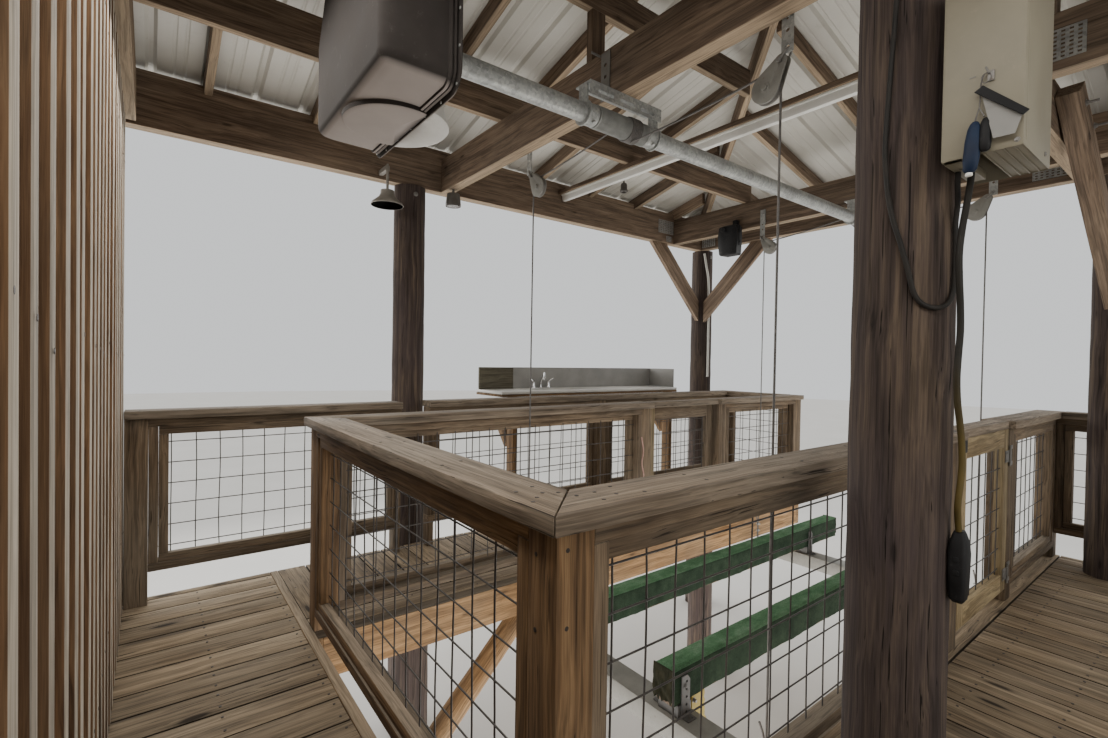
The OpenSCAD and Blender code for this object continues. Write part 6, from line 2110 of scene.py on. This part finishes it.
def nail_plate(origin, u, wide, high):
    """A pressed steel plate with punched rows, its low corner at origin, standing a millimetre off."""
    cols, rows = 2 * max(2, round(wide / 0.026)) + 1, 2 * max(2, round(high / 0.016)) + 1
    o = grid(cols, rows)
    edit(o, lambda: bpy.ops.mesh.select_mode(type="FACE"),
         lambda: bpy.ops.mesh.select_all(action="DESELECT"))
    for face in o.data.polygons:
        i, j = int((face.center.x + 0.5) * cols), int((face.center.y + 0.5) * rows)
        face.select = i % 2 == 1 and j % 2 == 1
    bpy.ops.object.mode_set(mode="EDIT")
    bpy.ops.mesh.delete(type="ONLY_FACE")
    bpy.ops.mesh.select_mode(type="VERT")
    bpy.ops.object.mode_set(mode="OBJECT")
    co = points(o)
    u, v = Vector(u), Vector((0, 0, 1))
    axes = np.array([u * wide, v * high])
    put_points(o, (co[:, :2] + 0.5) @ axes + np.array(P(*origin) + u.cross(v) * 0.001))
    modify(o, "SOLIDIFY", thickness=0.0012, offset=0)
    o.name = "nail_plate"
    return o


END_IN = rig.box("end_header")[0].x - CORNER.x
MB = LB1 + 1.13
plates = [nail_plate((LB2 - 0.205, HDR_IN, 2.362), (1, 0, 0), 0.2, 0.118),
          nail_plate((LB2 - 0.1, HDR_IN, 2.292), (1, 0, 0), 0.07, 0.05),
          nail_plate((END_IN, HDR_IN - 0.012, 2.3), (0, -1, 0), 0.15, 0.08),
          nail_plate((MB, 0.505, 2.315), (0, -1, 0), 0.125, 0.115),
          nail_plate((END_IN, 0.83, 2.318), (0, -1, 0), 0.16, 0.07),
          nail_plate((LB1, 0.72, 2.33), (0, -1, 0), 0.06, 0.12)]
piece("nail_plates", plates, galvanised, slot="galvanised")

bits = []
upright = outline_plate("upright", box_outline(-0.027, 0.027, HEAD_Z + 0.004, HEAD_Z + 0.205), 0.004,
                        [slot_hole(0.0, HEAD_Z + q, 0.0162, 0.008) for q in (0.05, 0.1, 0.15)])
bits.append(lay(upright, P(LB1 - 0.0002, 1.678, 0.0), (0, -1, 0)))
bits.append(bar(P(LB1 - 0.05, 1.716, HEAD_Z + 0.203), P(LB1 + 0.004, 1.716, HEAD_Z + 0.203), 0.005, 10))
bits += bolt(P(LB1 - 0.0045, 1.678, HEAD_Z + 0.03), (-1, 0, 0), 0.008, 0.008)
for x, y, z in ((3.386, 0.48, 2.392), (3.525, 0.47, 2.323)):
    bits.append(bar(P(x, y + 0.004, z), P(x, y - 0.045, z), 0.006, 10))
    bits += bolt(P(x, y - 0.001, z), (-0.07, -1, 0), 0.011, 0.01)
for y in (Y_FAR + 0.01, Y_FAR + 0.085):
    bits += bolt(P(END_IN - 0.0003, y - 0.15, HEAD_Z + 0.15), (-1, 0, 0), 0.009, 0.008)
for x, y in ((PX1, PY_MID), (PX2, PY_MID), (PX1, Y_FAR + PILE_R), (PX2, Y_FAR + PILE_R)):
    bits += bolt(P(x, y - PILE_R * 0.985, HEAD_Z - 0.06), (0, -1, 0), 0.01, 0.009)
piece("beam_hardware", bits, dull_steel, slot="steel")
RAFTER = (2.835, 2.888)
socket = lathe("bulb_socket", [(0.006, 0.145), (0.006, 0.07), (0.02, 0.066), (0.024, 0.05), (0.024, 0.022),
                               (0.03, 0.018), (0.03, 0.006), (0.022, 0.0), (0.018, 0.0), (0.018, 0.03)],
               P(*RAFTER, 2.455), (0, 0, 1), 24)
dress(socket, can_grey, slot="lamp_metal")
print("nails:", len(nails), "and nail plates:", len(plates))


# %% Size and extents file
for pattern in (first_board, first_screw, first_wire):
    bpy.data.objects.remove(pattern)
model_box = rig.bounds()
with open("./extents.json", "w") as f:
    json.dump({"cad": [list(v) for v in cad_box], "visual": [list(v) for v in model_box]}, f)
print("visual box:", [[round(c, 3) for c in v] for v in model_box])
